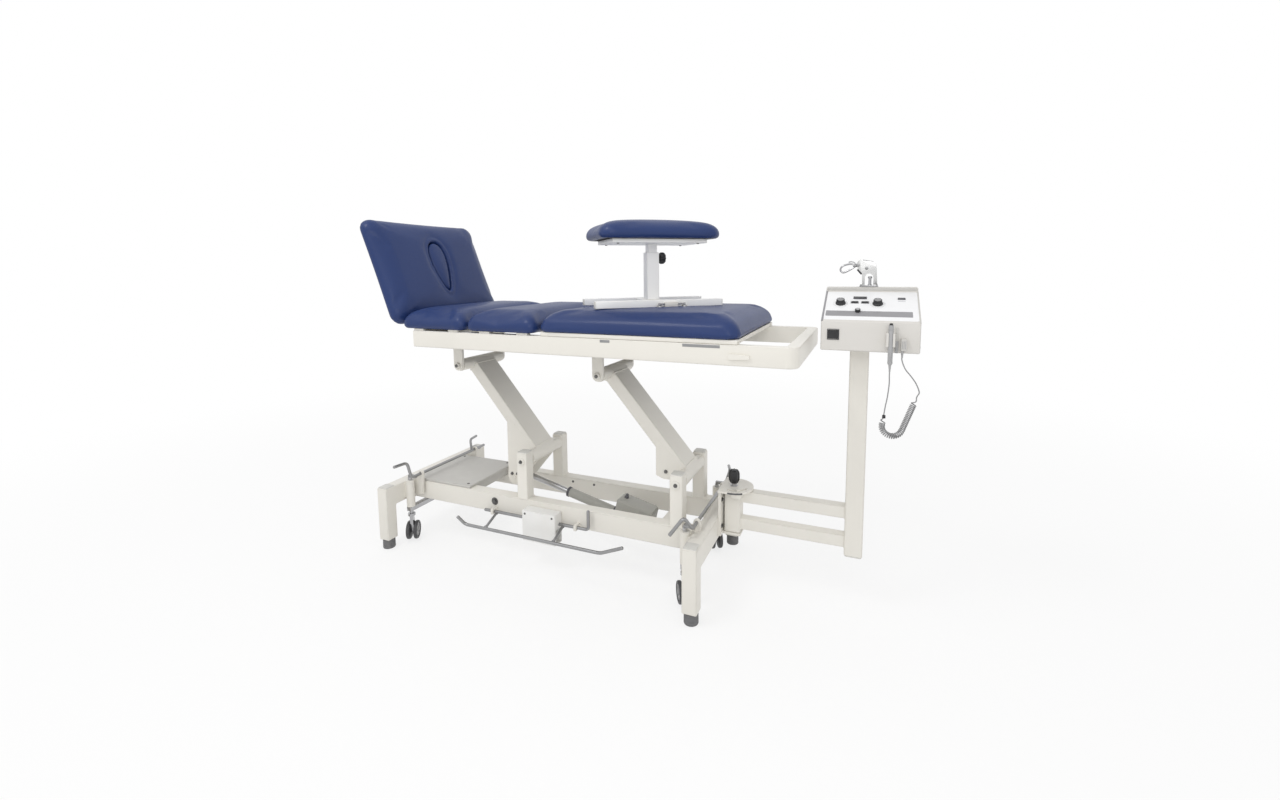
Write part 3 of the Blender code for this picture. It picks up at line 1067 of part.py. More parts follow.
curled = total - 4 * straight
curls = round(curled / CURL_PITCH)
points = [along_axis(0.0)[0], along_axis(straight)[0]]
for i in range(curls * CURL_POINTS + 1):
    place, direction = along_axis(2 * straight + curled * i / (curls * CURL_POINTS))
    turn = 2 * math.pi * i / CURL_POINTS
    spread = CURL_RADIUS * min(1.0, 2 * i / CURL_POINTS, 2 * (curls - i / CURL_POINTS))
    beside = Vector((0.0, 1.0, 0.0))
    over = direction.cross(beside)
    points.append(place + (beside * math.cos(turn) + over * math.sin(turn)) * spread)
points.extend([along_axis(total - straight)[0], along_axis(total)[0]])
least = min((a - b).length for i, a in enumerate(points) for b in points[i + CURL_POINTS - 2:])
print(f"curled cord: {curls} curls, least gap to itself {(least - CORD_DIAMETER) * 1000:.2f} mm")
curl_start, start_way = along_axis(0.0)
curl_end, end_way = along_axis(total)
solid("handset_cord_curls", GREY, stand, [tube(points, CORD_DIAMETER, 1)])
lead_top = Vector((SWITCH.x, SWITCH.y, SWITCH.z - GAP))
lead_end = curl_start - start_way * GAP
down = Vector((0.0, 0.0, -straight))
lead = [lead_top + down, lead_top + down * 4, (POST_X + 0.081, cord_y, CONSOLE_BOTTOM - 0.12),
        lead_end - start_way * straight * 4, lead_end - start_way * straight]
solid("handset_cord_lead", GREY, stand, [tube([lead_top, *smooth_path(lead, 4), lead_end], CORD_DIAMETER, 1)])
tail_start = curl_end + end_way * GAP
tail_end = Vector((SOCKET.x, SOCKET.y, SOCKET.z - GAP))
tail = [tail_start + end_way * straight, tail_start + end_way * straight * 4,
        (POST_X + 0.148, cord_y, CONSOLE_BOTTOM - 0.060),
        tail_end + down * 4, tail_end + down]
solid("handset_cord_tail", GREY, stand,
      [tube([tail_start, *smooth_path(tail, 4), tail_end], CORD_DIAMETER, 1)])

# Stool, drawn about its post and turned by its empty
stool = body("stool_joint", STOOL_PLACE, None, (0.0, 0.0, STOOL_YAW))
stool_up = body("stool_stem_joint", STOOL_PLACE, None, (0.0, 0.0, STOOL_YAW))
bar = STOOL_BAR_SIDE
outer = STOOL_POST_SIDE / 2
add = [block((-outer, -outer, 0.004), (outer, outer, STOOL_POST_HEIGHT), 0.002),
       block((-0.030, -STOOL_BAR_SPACING / 2, 0.006), (0.030, STOOL_BAR_SPACING / 2, bar - 0.003), 0.001)]
for hand in (-1, 1):
    y = hand * STOOL_BAR_SPACING / 2
    add.append(block((-STOOL_BAR_LENGTH / 2, y - bar / 2, 0.0), (STOOL_BAR_LENGTH / 2, y + bar / 2, bar),
                     0.002))
stem_room = STOOL_STEM_SIDE / 2 + PIN_CLEAR
knob_z = STOOL_POST_HEIGHT - 0.020
solid("stool_base", IVORY, stool, add,
      [block((-stem_room, -stem_room, 0.030), (stem_room, stem_room, STOOL_POST_HEIGHT + 0.01)),
       rod((0.0, 0.0, knob_z), (outer + 0.01, 0.0, knob_z), 0.008 + 2 * PIN_CLEAR, 12)], local=True)
stem = STOOL_STEM_SIDE / 2
solid("stool_stem", IVORY, stool_up,
      [block((-stem, -stem, 0.060), (stem, stem, STOOL_UNDERSIDE - 0.012), 0.001),
       block((-STOOL_CUSHION_LENGTH / 2 + 0.05, -STOOL_CUSHION_WIDTH / 2 + 0.04, STOOL_UNDERSIDE - 0.015),
             (STOOL_CUSHION_LENGTH / 2 - 0.05, STOOL_CUSHION_WIDTH / 2 - 0.04, STOOL_UNDERSIDE - GAP),
             0.002)], local=True)
pad = cushion(STOOL_CUSHION_LENGTH, STOOL_CUSHION_WIDTH, STOOL_CUSHION_THICKNESS, 0.035)
solid("stool_cushion", NAVY, stool_up, [moved(pad, 0.0, 0.0, STOOL_UNDERSIDE)], local=True)
knob_turn = body("stool_knob_joint", STOOL_PLACE + Vector((0.0, 0.0, knob_z)), None, (0.0, 0.0, STOOL_YAW))
solid("stool_knob", BLACK, knob_turn, [turned(
    [(0.004, stem + GAP), (0.004, outer + GAP), (0.009, outer + GAP), (0.010, outer + 0.006),
     (0.019, outer + 0.008),
     (0.021, outer + 0.014), (0.019, outer + 0.026), (0.014, outer + 0.030)], (0, 0, 0), (1, 0, 0), 16)],
     local=True)
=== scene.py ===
"""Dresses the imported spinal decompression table: upholstery, paint, metal, console and cord on a plain stage.

Lengths are in metres. Only the profiles of turned parts and the sizes of bolts are in millimetres.
"""
import json
import math

import bmesh
import bpy
from bpy.props import FloatProperty, FloatVectorProperty, IntProperty, PointerProperty
from mathutils import Matrix, Vector

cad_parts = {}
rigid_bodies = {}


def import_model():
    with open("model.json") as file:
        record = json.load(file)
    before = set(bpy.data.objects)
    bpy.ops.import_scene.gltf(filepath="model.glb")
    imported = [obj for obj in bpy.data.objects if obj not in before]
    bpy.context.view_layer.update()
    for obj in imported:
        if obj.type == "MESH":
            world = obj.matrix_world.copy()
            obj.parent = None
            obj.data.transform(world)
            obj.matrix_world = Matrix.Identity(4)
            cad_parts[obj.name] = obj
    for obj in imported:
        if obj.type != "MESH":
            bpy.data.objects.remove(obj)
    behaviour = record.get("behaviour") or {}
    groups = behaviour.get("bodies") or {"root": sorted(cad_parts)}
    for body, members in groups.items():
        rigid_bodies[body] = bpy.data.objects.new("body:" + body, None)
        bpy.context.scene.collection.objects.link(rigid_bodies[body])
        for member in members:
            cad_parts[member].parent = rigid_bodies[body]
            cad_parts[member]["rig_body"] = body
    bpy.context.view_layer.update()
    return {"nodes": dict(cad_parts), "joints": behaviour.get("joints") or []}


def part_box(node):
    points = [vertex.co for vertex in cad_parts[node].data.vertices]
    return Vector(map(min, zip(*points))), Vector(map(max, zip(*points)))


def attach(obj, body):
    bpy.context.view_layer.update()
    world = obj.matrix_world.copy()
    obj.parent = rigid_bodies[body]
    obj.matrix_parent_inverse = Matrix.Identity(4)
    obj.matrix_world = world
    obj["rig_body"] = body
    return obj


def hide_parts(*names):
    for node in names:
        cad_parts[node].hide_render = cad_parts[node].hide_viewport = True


bl_info = {
    "name": "Spinal decompression table",
    "version": (1, 0, 0),
    "blender": (4, 5, 0),
    "location": "3D View > Sidebar > Table",
    "description": "Upholstery, finishes, fittings and stage around the packed table",
    "category": "Object",
}

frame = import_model()
JOINTS = {joint["name"]: joint for joint in frame["joints"]}

MM = 0.001
ORIGIN = Matrix.Identity(4)
HANDS = (-1, 1)  # one side and the other
CORNERS = [f"{row}_{side}" for row in ("front", "back") for side in ("left", "right")]
ARMS = (("left", "lift"), ("right", "right_arm_turn"))  # the lift arms and the joints at their feet
CONSOLE_LOW, CONSOLE_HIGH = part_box("console_housing")
CONSOLE_FRONT = -0.12
POST_X = CONSOLE_HIGH.x - 0.162  # the traction stand's post
RAIL_Y = 0.13  # base rails and pivot posts, either side of the middle plane
RAIL_Z = 0.2075
STOOL_YAW = 40.0  # degrees that the stool is turned on the leg section
HEAD_LEAN = 68.6  # degrees that the head cushion leans at rest


def colour(name, default, text):
    """A colour property."""
    return FloatVectorProperty(name=name, description=text, default=default, size=3, min=0.0, max=1.0,
                               subtype="COLOR")


def number(name, default, text, **kind):
    """A number property, with its unit or subtype where one fits."""
    return FloatProperty(name=name, description=text, default=default, **kind)


def length(name, default, text):
    """A length property in metres."""
    return number(name, default, text, min=0.0, soft_max=2.0, unit="LENGTH", precision=4)


class TableFinish(bpy.types.PropertyGroup):
    """Colours of the table's finishes."""

    ivory: colour("Ivory paint", (0.80, 0.775, 0.715), "Powder coat on the steel frame")
    ivory_worn: colour("Worn ivory", (0.66, 0.635, 0.575), "Powder coat where it is handled and scuffed")
    white: colour("Stool paint", (0.94, 0.936, 0.926), "White coat of the stool")
    navy: colour("Navy vinyl", (0.016, 0.040, 0.150), "Coated vinyl of the cushions")
    navy_deep: colour("Deep navy", (0.010, 0.026, 0.104), "Vinyl in the grain and folds")
    rubber: colour("Foot rubber", (0.155, 0.155, 0.160), "Rubber of the four feet")
    black: colour("Black plastic", (0.016, 0.016, 0.018), "Knobs, dials, keys and wheels")
    grey: colour("Grey plastic", (0.390, 0.390, 0.394), "Hand switch, cord and drive")
    steel: colour("Zinc plated rod", (0.36, 0.36, 0.365), "Treadle, pedals and shafts")
    chrome: colour("Chrome", (0.46, 0.46, 0.47), "Rope head and caster forks")
    console: colour("Console paint", (0.688, 0.668, 0.635), "Console housing")
    box: colour("Box paint", (0.86, 0.855, 0.835), "Treadle box")
    print_grey: colour("Printed strip", (0.300, 0.295, 0.310), "Grey strip along the console panel")
    floor: colour("Floor", (0.92, 0.92, 0.92), "Plain floor under the table")


class TableForm(bpy.types.PropertyGroup):
    """Sizes of the soft and dressed forms."""

    edge_run: length("Edge run", 0.058, "How far in the sloped edge of a cushion reaches")
    edge_base: length("Edge base", 0.018, "Height of the upright part of a cushion's side")
    crown: length("Crown", 0.006, "Rise of a cushion's top to its middle")
    voxel: length("Voxel", 0.0075, "Remesh size before the cloth simulation")
    swell: length("Swell", 0.006, "Most that a point of a cushion may move in the simulation")
    pressure: number("Pressure", 4.0, "Inside pressure of a cushion in the simulation")
    frames: IntProperty(name="Frames", description="Frames of cloth simulation", default=20, min=1, max=60)
    cord_diameter: length("Cord", 0.0034, "Diameter of the hand switch's cord")
    bead: length("Weld bead", 0.0022, "Radius of a weld bead")


class TableStage(bpy.types.PropertyGroup):
    """Camera and light."""

    lens: number("Lens", 15.527, "Focal length for a 36 mm sensor", unit="CAMERA")
    shift: number("Shift", -0.0572, "Downward shift of the picture")
    azimuth: number("Azimuth", 0.401872, "Turn of the camera about the table", subtype="ANGLE")
    pitch: number("Pitch", 0.104466, "Downward tilt of the camera", subtype="ANGLE")
    roll: number("Roll", -0.008371, "Roll of the camera", subtype="ANGLE")
    place: FloatVectorProperty(name="Place", description="Camera position", default=(0.8592, -1.8584, 1.1222),
                               subtype="TRANSLATION")
    ambient: number("Ambient", 0.82, "Strength of the surrounding light")
    key: number("Key", 24.0, "Power of the main soft light", unit="POWER")
    fill: number("Fill", 7.0, "Power of the second soft light", unit="POWER")


class Field:
    """An output of a node that takes part in Python arithmetic."""

    def __init__(self, surface, socket):
        self.surface = surface
        self.socket = socket

    def maths(self, operation, first, second):
        """A Math node on two values."""
        return self.surface.node("ShaderNodeMath", {"operation": operation}, (first, second))

    def __add__(self, other):
        return self.maths("ADD", self, other)

    def __sub__(self, other):
        return self.maths("SUBTRACT", self, other)

    def __rsub__(self, other):
        return self.maths("SUBTRACT", other, self)

    def __mul__(self, other):
        return self.maths("MULTIPLY", self, other)

    def __truediv__(self, other):
        return self.maths("DIVIDE", self, other)

    def __rtruediv__(self, other):
        return self.maths("DIVIDE", other, self)

    __radd__ = __add__
    __rmul__ = __mul__

    def clipped(self, low=0.0, high=1.0):
        """The value held between two limits and stretched to run from 0 to 1."""
        settings = {"clamp": True, "interpolation_type": "SMOOTHSTEP"}
        return self.surface.node("ShaderNodeMapRange", settings, {"Value": self, "From Min": low, "From Max": high})


class Surface:
    """The nodes of a material, or of the world, under construction."""

    def __init__(self, owner, shader="Principled BSDF"):
        owner.use_nodes = True
        self.owner = owner
        self.tree = owner.node_tree
        self.shader = self.tree.nodes[shader]

    def wire(self, socket, value):
        """Link a field to a socket, or set the socket's own value."""
        if isinstance(value, Field):
            self.tree.links.new(value.socket, socket)
        elif hasattr(socket.default_value, "__len__") and len(socket.default_value) == 4 and len(value) == 3:
            socket.default_value = (*value, 1.0)
        else:
            socket.default_value = value

    def node(self, kind, settings=None, values=(), output=0):
        """Add a node: its settings first, then its sockets, and give one output back."""
        made = self.tree.nodes.new(kind)
        for key, value in (settings or {}).items():
            setattr(made, key, value)
        for key, value in values.items() if isinstance(values, dict) else enumerate(values):
            self.wire(made.inputs[key], value)
        return Field(self, made.outputs[output])

    def place(self, stretch=None):
        """Object coordinates, which are the part's own metres, stretched if asked."""
        place = self.node("ShaderNodeTexCoord", output="Object")
        if stretch:
            place = self.node("ShaderNodeMapping", {}, {"Vector": place, "Scale": stretch})
        return place

    def noise(self, place, scale, detail=2.0, roughness=0.5):
        """Cloudy variation from 0 to 1."""
        return self.node("ShaderNodeTexNoise", {},
                         {"Vector": place, "Scale": scale, "Detail": detail, "Roughness": roughness}, "Fac")

    def cells(self, place, scale, feature="DISTANCE_TO_EDGE"):
        """Cell pattern as distance to the nearest edge or point."""
        return self.node("ShaderNodeTexVoronoi", {"feature": feature}, {"Vector": place, "Scale": scale}, "Distance")

    def threads(self, direction, scale):
        """Bands across one direction."""
        return self.node("ShaderNodeTexWave", {"wave_type": "BANDS", "bands_direction": direction},
                         {"Vector": self.place(), "Scale": scale}, "Fac")

    def blend(self, share, first, second):
        """One colour turning into another."""
        return self.node("ShaderNodeMix", {"data_type": "RGBA"}, {0: share, 6: first, 7: second}, 2)

    def edge(self, radius):
        """How far a point lies on a turned edge: 0 on a flat face."""
        rolled = self.node("ShaderNodeBevel", {"samples": 4}, {"Radius": radius})
        flat = self.node("ShaderNodeNewGeometry", output="True Normal")
        level = self.node("ShaderNodeVectorMath", {"operation": "DOT_PRODUCT"}, (rolled, flat), "Value")
        return 1.0 - level

    def rubbed(self, radius, steep, scale):
        """Wear on the edges, broken up by cloudy variation."""
        worn = (self.edge(radius) * steep).clipped(0.1, 0.9)
        return worn * self.noise(self.place(), scale, 3.0).clipped(0.40, 0.62)

    def near_floor(self, height):
        """1 at the floor and 0 from a height on."""
        above = self.node("ShaderNodeSeparateXYZ", {}, (self.place(),), "Z")
        return (1.0 - above / height).clipped()

    def seen(self):
        """1 for a look from the camera, off gloss or through glass, and 0 for light alone."""
        camera, gloss, glass = (self.node("ShaderNodeLightPath", output=f"Is {kind} Ray")
                                for kind in ("Camera", "Glossy", "Transmission"))
        return (camera + gloss + glass).clipped()

    def bump(self, strength, distance, level, under=None):
        """A bump for the shader's normal, over another bump if given."""
        values = {"Strength": strength, "Distance": distance, "Height": level}
        if under:
            values["Normal"] = under
        return self.node("ShaderNodeBump", {}, values)

    def done(self, **sockets):
        """Set the shader's sockets by name and give the material or world back."""
        for key, value in sockets.items():
            self.wire(self.shader.inputs[key.replace("_", " ").title().replace("Ior", "IOR")], value)
        return self.owner


def material(name):
    """A new material's nodes."""
    return Surface(bpy.data.materials.new(name))


def darker(shade, share):
    """A colour brought down."""
    return tuple(channel * share for channel in shade)


def powder_coat(name, fresh, worn_shade):
    """Powder coat: broad tone, orange peel, rubbed edges, scratches low down, and the coat darker towards the floor.
    """
    s = material(name)
    tone = s.noise(s.place(), 5.0, 3.0)
    peel = s.noise(s.place(), 620.0, 1.0)
    scratch = s.noise(s.place((14.0, 14.0, 160.0)), 3.0, 3.0, 0.7).clipped(0.66, 0.74)
    low = s.near_floor(0.26)
    # low: scratches and a darker coat towards the floor
    worn = tone.clipped(0.35, 0.75) * 0.22 + s.rubbed(0.004, 5.0, 40.0) * 0.45 + scratch * low * 0.35 + low * 0.18
    worn = worn.clipped()
    return s.done(base_color=s.blend(worn, fresh, worn_shade), roughness=0.34 + tone * 0.10 + worn * 0.12,
                  specular_ior_level=0.45, normal=s.bump(0.10, 0.0006, peel))


def console_white(name, fresh, worn_shade):
    """Finely textured paint of the console and the treadle's box."""
    s = material(name)
    tone = s.noise(s.place(), 9.0, 3.0)
    grain = s.cells(s.place(), 900.0, "F1")
    share = tone.clipped(0.35, 0.75) * 0.18 + s.rubbed(0.003, 5.0, 60.0) * 0.40
    return s.done(base_color=s.blend(share, fresh, worn_shade), roughness=0.42 + tone * 0.10,
                  normal=s.bump(0.14, 0.0005, grain))


def navy_vinyl(finish):
    """Coated vinyl: pebble grain, soft creases, and a sheen that differs where it is sat on."""
    s = material("navy_vinyl")
    pebble = s.cells(s.place(), 620.0)
    fine = s.noise(s.place(), 1500.0, 1.0)
    tone = s.noise(s.place(), 3.5, 4.0)
    crease = s.noise(s.place((9.0, 30.0, 14.0)), 2.0, 4.0, 0.6)
    grain = pebble.clipped(0.0, 0.16) * 0.7 + fine * 0.3
    share = (1.0 - grain) * 0.55 + tone.clipped(0.35, 0.7) * 0.28
    return s.done(base_color=s.blend(share, finish.navy, finish.navy_deep),
                  roughness=0.36 + tone * 0.12 + (1.0 - grain) * 0.10,
                  specular_ior_level=0.30, coat_weight=0.13, coat_roughness=0.16,
                  normal=s.bump(0.22, 0.0005, grain, s.bump(0.10, 0.004, crease)))


def dust_cover_cloth(finish):
    """Black woven cover under the cushions."""
    s = material("dust_cover_cloth")
    weave = s.threads("X", 140.0) * s.threads("Y", 140.0)
    return s.done(base_color=s.blend(weave, finish.black, (0.045, 0.045, 0.05)), roughness=0.92,
                  normal=s.bump(0.3, 0.0006, weave))


def foot_rubber(finish):
    """Matte rubber with a dusty bloom."""
    s = material("foot_rubber")
    dust = s.noise(s.place(), 35.0, 4.0, 0.7).clipped(0.42, 0.72) * s.near_floor(0.06)
    speck = s.noise(s.place(), 900.0, 1.0)
    return s.done(base_color=s.blend(dust * 0.5, finish.rubber, (0.30, 0.29, 0.275)),
                  roughness=0.70 + speck * 0.15, normal=s.bump(0.25, 0.0006, speck))


def moulded(name, shade, lighter, roughness):
    """Moulded plastic with a fine spark-eroded grain and paler rubbed edges."""
    s = material(name)
    grain = s.noise(s.place(), 1300.0, 2.0, 0.6)
    tone = s.noise(s.place(), 30.0, 3.0)
    share = (s.edge(0.0012) * 4.0).clipped(0.1, 0.9) * 0.5 + tone.clipped(0.4, 0.75) * 0.25
    return s.done(base_color=s.blend(share, shade, lighter), roughness=roughness + tone * 0.14,
                  normal=s.bump(0.16, 0.0004, grain))


def drawn_metal(name, shade, roughness, along, coarse):
    """Bare or plated metal with drawing marks along one direction and dull spots."""
    s = material(name)
    marks = s.noise(s.place(along), coarse, 3.0, 0.6)
    spots = s.noise(s.place(), 26.0, 4.0, 0.6).clipped(0.5, 0.75)
    return s.done(base_color=s.blend(marks * 0.5 + spots * 0.25, shade, darker(shade, 0.72)), metallic=1.0,
                  roughness=roughness + marks * 0.10 + spots * 0.12, normal=s.bump(0.05, 0.0004, marks))


def panel_print(name, shade, roughness):
    """A printed polyester sheet with a faint texture."""
    s = material(name)
    grain = s.cells(s.place(), 1600.0, "F1")
    tone = s.noise(s.place(), 14.0, 2.0)
    return s.done(base_color=s.blend(tone * 0.6, shade, darker(shade, 0.90)), roughness=roughness + tone * 0.06,
                  normal=s.bump(0.05, 0.0003, grain))


def display_glass():
    """A dark window with a faint smear."""
    s = material("display_glass")
    smear = s.noise(s.place((30.0, 90.0, 90.0)), 4.0, 3.0)
    shade = s.blend(smear.clipped(0.4, 0.8) * 0.5, (0.010, 0.010, 0.013), (0.030, 0.028, 0.034))
    return s.done(base_color=shade, roughness=0.09 + smear * 0.12, coat_weight=0.6)


def make_materials(finish):
    """Every finish of the table by name."""
    rod, plate = (60.0, 9.0, 60.0), (40.0, 40.0, 12.0)
    return {
        "ivory": powder_coat("ivory_powder_coat", finish.ivory, finish.ivory_worn),
        "console": console_white("console_white", finish.console, finish.ivory_worn),
        "box": console_white("box_white", finish.box, finish.ivory_worn),
        "navy": navy_vinyl(finish),
        "cover": dust_cover_cloth(finish),
        "rubber": foot_rubber(finish),
        "black": moulded("moulded_black", finish.black, (0.050, 0.050, 0.054), 0.34),
        "grey": moulded("moulded_grey", finish.grey, (0.45, 0.45, 0.455), 0.42),
        "cord": moulded("cord_grey", (0.29, 0.29, 0.295), (0.36, 0.36, 0.365), 0.44),
        "bright": drawn_metal("bright_plate", (0.66, 0.66, 0.655), 0.22, plate, 5.0),
        "drive": moulded("drive_grey", (0.385, 0.380, 0.350), (0.47, 0.465, 0.43), 0.46),
        "wheel": moulded("wheel_grey", (0.060, 0.060, 0.063), (0.13, 0.13, 0.135), 0.40),
        "stool": powder_coat("stool_white_coat", finish.white, finish.ivory),
        "cap": moulded("cap_grey", (0.67, 0.66, 0.625), (0.73, 0.72, 0.685), 0.48),
        # shelf grey: on the shelf plate and the console's top step it is painted shade, darker than the frame's paint
        # because those faces lie in shadow; elsewhere a plain pale grey
        "shelf": moulded("shelf_grey", (0.560, 0.548, 0.520), (0.66, 0.65, 0.62), 0.50),
        "steel": drawn_metal("zinc_rod", finish.steel, 0.32, rod, 4.0),
        "shaft": drawn_metal("turned_shaft", (0.52, 0.52, 0.53), 0.24, rod, 5.0),
        "bolt": drawn_metal("blackened_bolt", (0.17, 0.168, 0.165), 0.36, (80.0, 80.0, 80.0), 3.0),
        "chrome": drawn_metal("polished_chrome", finish.chrome, 0.09, plate, 3.0),
        "print": panel_print("panel_print", (0.90, 0.90, 0.91), 0.30),
        "strip": panel_print("strip_print", finish.print_grey, 0.34),
        "ink": panel_print("panel_ink", (0.09, 0.09, 0.10), 0.40),
        "glass": display_glass(),
    }


MATERIALS = {}


def arc(centre, radius, start, end, steps):
    """Points on a flat arc, angles in degrees."""
    angles = [math.radians(start + (end - start) * i / steps) for i in range(steps + 1)]
    return [(centre[0] + radius * math.cos(a), centre[1] + radius * math.sin(a)) for a in angles]


def round_rect(half_x, half_y, radius, steps=6, straight=0, draw_in=0.0):
    """A rounded rectangle from its first corner round, with the sides drawn in if asked."""
    points = []
    for sx, sy, start in ((1, 1, 0), (-1, 1, 90), (-1, -1, 180), (1, -1, 270)):
        centre = (sx * (half_x - radius), sy * (half_y - radius))
        points.extend(arc(centre, radius, start, start + 90, steps))
        for i in range(1, straight + 1):
            t = 2 * i / (straight + 1) - 1
            pull = draw_in * (1 - t * t)
            if start in (0, 180):
                points.append((-centre[0] * t, sy * (half_y - pull)))
            else:
                points.append((sx * (half_x - pull), -centre[1] * t))
    return points


def rounded_path(points, bend, steps=8):
    """A broken line with its corners replaced by short curves."""
    points = [Vector(point) for point in points]
    path = [points[0]]
    for before, corner, after in zip(points, points[1:], points[2:]):
        start = corner + (before - corner).normalized() * bend
        end = corner + (after - corner).normalized() * bend
        for i in range(steps + 1):
            t = i / steps
            path.append(start * (1 - t) ** 2 + corner * 2 * t * (1 - t) + end * t ** 2)
    path.append(points[-1])
    return path


def smooth_path(points, steps):
    """A smooth curve through chosen points."""
    points = [Vector(point) for point in points]
    points = [points[0] * 2 - points[1], *points, points[-1] * 2 - points[-2]]
    path = []
    for a, b, c, d in zip(points, points[1:], points[2:], points[3:]):
        for i in range(steps):
            t = i / steps
            path.append((b * 2 + (c - a) * t + (a * 2 - b * 5 + c * 4 - d) * t ** 2
                         + (b * 3 - a - c * 3 + d) * t ** 3) / 2)
    path.append(points[-2])
    return path


def at(x, y, z=0.0):
    """A placement moved to a point."""
    return Matrix.Translation((x, y, z))


def rotated(axis, degrees):
    """A placement turned about one of its axes."""
    return Matrix.Rotation(math.radians(degrees), 4, axis)


def upright(centre, axis):
    """A placement whose Z runs along an axis through a centre."""
    return at(*centre) @ Vector((0.0, 0.0, 1.0)).rotation_difference(Vector(axis)).to_matrix().to_4x4()


def outward(hand, x, y, z):
    """A placement on the table's front or back that faces out."""
    return upright((x, hand * y, z), (0, hand, 0))


def rod(radius, low, high):
    """The profile of a plain round rod."""
    return [(0, low), (radius, low), (radius, high), (0, high)]


def bridge(part, rings):
    """Faces between rings of points that follow each other."""
    for ring, above in zip(rings, rings[1:]):
        for i in range(len(ring)):
            j = (i + 1) % len(ring)
            part.faces.new((ring[i], ring[j], above[j], above[i]))


def fan(part, ring, peak):
    """Faces from a ring to one point."""
    for i in range(len(ring)):
        part.faces.new((ring[i], ring[(i + 1) % len(ring)], peak))


def mesh_of(part, name):
    """A finished mesh with its faces turned out; the working copy goes."""
    bmesh.ops.recalc_face_normals(part, faces=part.faces)
    mesh = bpy.data.meshes.new(name)
    part.to_mesh(mesh)
    part.free()
    return mesh


class Form:
    """Shapes gathered into one mesh, which becomes one piece."""

    def __init__(self, place=ORIGIN):
        self.mesh = bmesh.new()
        self.place = place
        self.names = []

    def join(self, part, finish, place):
        """Take a shape in with its finish."""
        if finish not in self.names:
            self.names.append(finish)
        bmesh.ops.transform(part, matrix=self.place @ place, verts=part.verts)
        for face in part.faces:
            face.material_index = self.names.index(finish)
        mesh = mesh_of(part, "part")
        self.mesh.from_mesh(mesh)
        bpy.data.meshes.remove(mesh)

    def block(self, finish, low, high, rounding=0.001, segments=2, place=ORIGIN):
        """A box with rounded edges."""
        part = bmesh.new()
        low, high = Vector(low), Vector(high)
        for vert in bmesh.ops.create_cube(part, size=1.0)["verts"]:
            vert.co = low + Vector((vert.co[i] + 0.5) * (high[i] - low[i]) for i in range(3))
        if rounding:
            bmesh.ops.bevel(part, geom=part.edges[:], offset=rounding, segments=segments, profile=0.5,
                            affect="EDGES", clamp_overlap=True)
        self.join(part, finish, place)

    def prism(self, finish, outline, low, high, rounding=0.0, place=ORIGIN):
        """A flat outline raised from one height to another, its rims rounded if asked."""
        part = bmesh.new()
        base, top = ([part.verts.new((x, y, z)) for x, y in outline] for z in (low, high))
        part.faces.new(base[::-1])
        part.faces.new(top)
        bridge(part, (base, top))
        if rounding:
            rims = [edge for edge in part.edges if abs(edge.verts[0].co.z - edge.verts[1].co.z) < 1e-9]
            bmesh.ops.bevel(part, geom=rims, offset=rounding, segments=2, profile=0.5, affect="EDGES",
                            clamp_overlap=True)
        self.join(part, finish, place)

    def lathe(self, finish, profile, sides=32, place=ORIGIN, lobes=0, depth=0.0, ribbed=()):
        """A profile of radius and height in millimetres turned about Z, with lobes on the listed rows."""
        part = bmesh.new()
        rings = []
        for row, (radius, height) in enumerate(profile):
            ring = []
            for i in range(sides if radius else 1):
                turn = math.tau * i / sides
                reach = radius - (depth * (0.5 - 0.5 * math.cos(lobes * turn)) if row in ribbed else 0.0)
                point = (reach * math.cos(turn) * MM, reach * math.sin(turn) * MM, height * MM)
                ring.append(part.verts.new(point))
            rings.append(ring)
        for ring, above in zip(rings, rings[1:]):
            for i in range(sides):
                j = (i + 1) % sides
                corners = [ring[i % len(ring)], ring[j % len(ring)], above[j % len(above)], above[i % len(above)]]
                corners = [corner for k, corner in enumerate(corners) if corner not in corners[:k]]
                if len(corners) > 2:
                    part.faces.new(corners)
        for ring in (rings[0], rings[-1]):
            if len(ring) > 2:
                part.faces.new(ring)
        self.join(part, finish, place)

    def sweep(self, finish, path, radius, sides=16, ripple=0.0, closed=False, cap=True):
        """A round bar along a path, with domed ends, or a rippled bead."""
        path = [Vector(point) for point in path]
        part = bmesh.new()
        count = len(path)
        ways = []
        for i in range(count):
            after = path[(i + 1) % count] if closed or i + 1 < count else path[i]
            before = path[i - 1] if closed or i > 0 else path[i]
            ways.append((after - before).normalized())
        side = ways[0].orthogonal().normalized()
        stations = []
        for i, (place, way) in enumerate(zip(path, ways)):
            side = (side - way * side.dot(way)).normalized()
            stations.append((place, way, side.copy(), radius * (1.0 + ripple * math.sin(i * 2.1))))
        if cap and not closed:
            ends = [(radius * math.sin(turn) * 0.5, radius * math.cos(turn))
                    for turn in map(math.radians, (75, 45, 20))]
            first, last = stations[0], stations[-1]
            stations = ([(first[0] - first[1] * out, *first[1:3], size) for out, size in ends] + stations
                        + [(last[0] + last[1] * out, *last[1:3], size) for out, size in reversed(ends)])
        rings = []
        for place, way, across, reach in stations:
            over = way.cross(across)
            rings.append([part.verts.new(place + (across * math.cos(math.tau * k / sides)
                                                  + over * math.sin(math.tau * k / sides)) * reach)
                          for k in range(sides)])
        bridge(part, rings + rings[:1] if closed else rings)
        if not closed:
            part.faces.new(rings[0])
            part.faces.new(rings[-1])
        self.join(part, finish, ORIGIN)

    def hexagon(self, place, across, tall, washer=0.0):
        """A bolt's hexagon head with a chamfered top, on a washer if asked, in millimetres."""
        low = 1.6 if washer else 0.0
        if washer:
            rim = washer / 2
            self.lathe("bolt", [(0, 0), (rim, 0), (rim, 1.2), (rim - 0.6, low), (0, low)], 24, place)
        outline = arc((0.0, 0.0), across / math.sqrt(3) * MM, 0, 300, 5)
        self.prism("bolt", outline, low * MM, (low + tall) * MM, min(0.8, tall / 4) * MM, place)

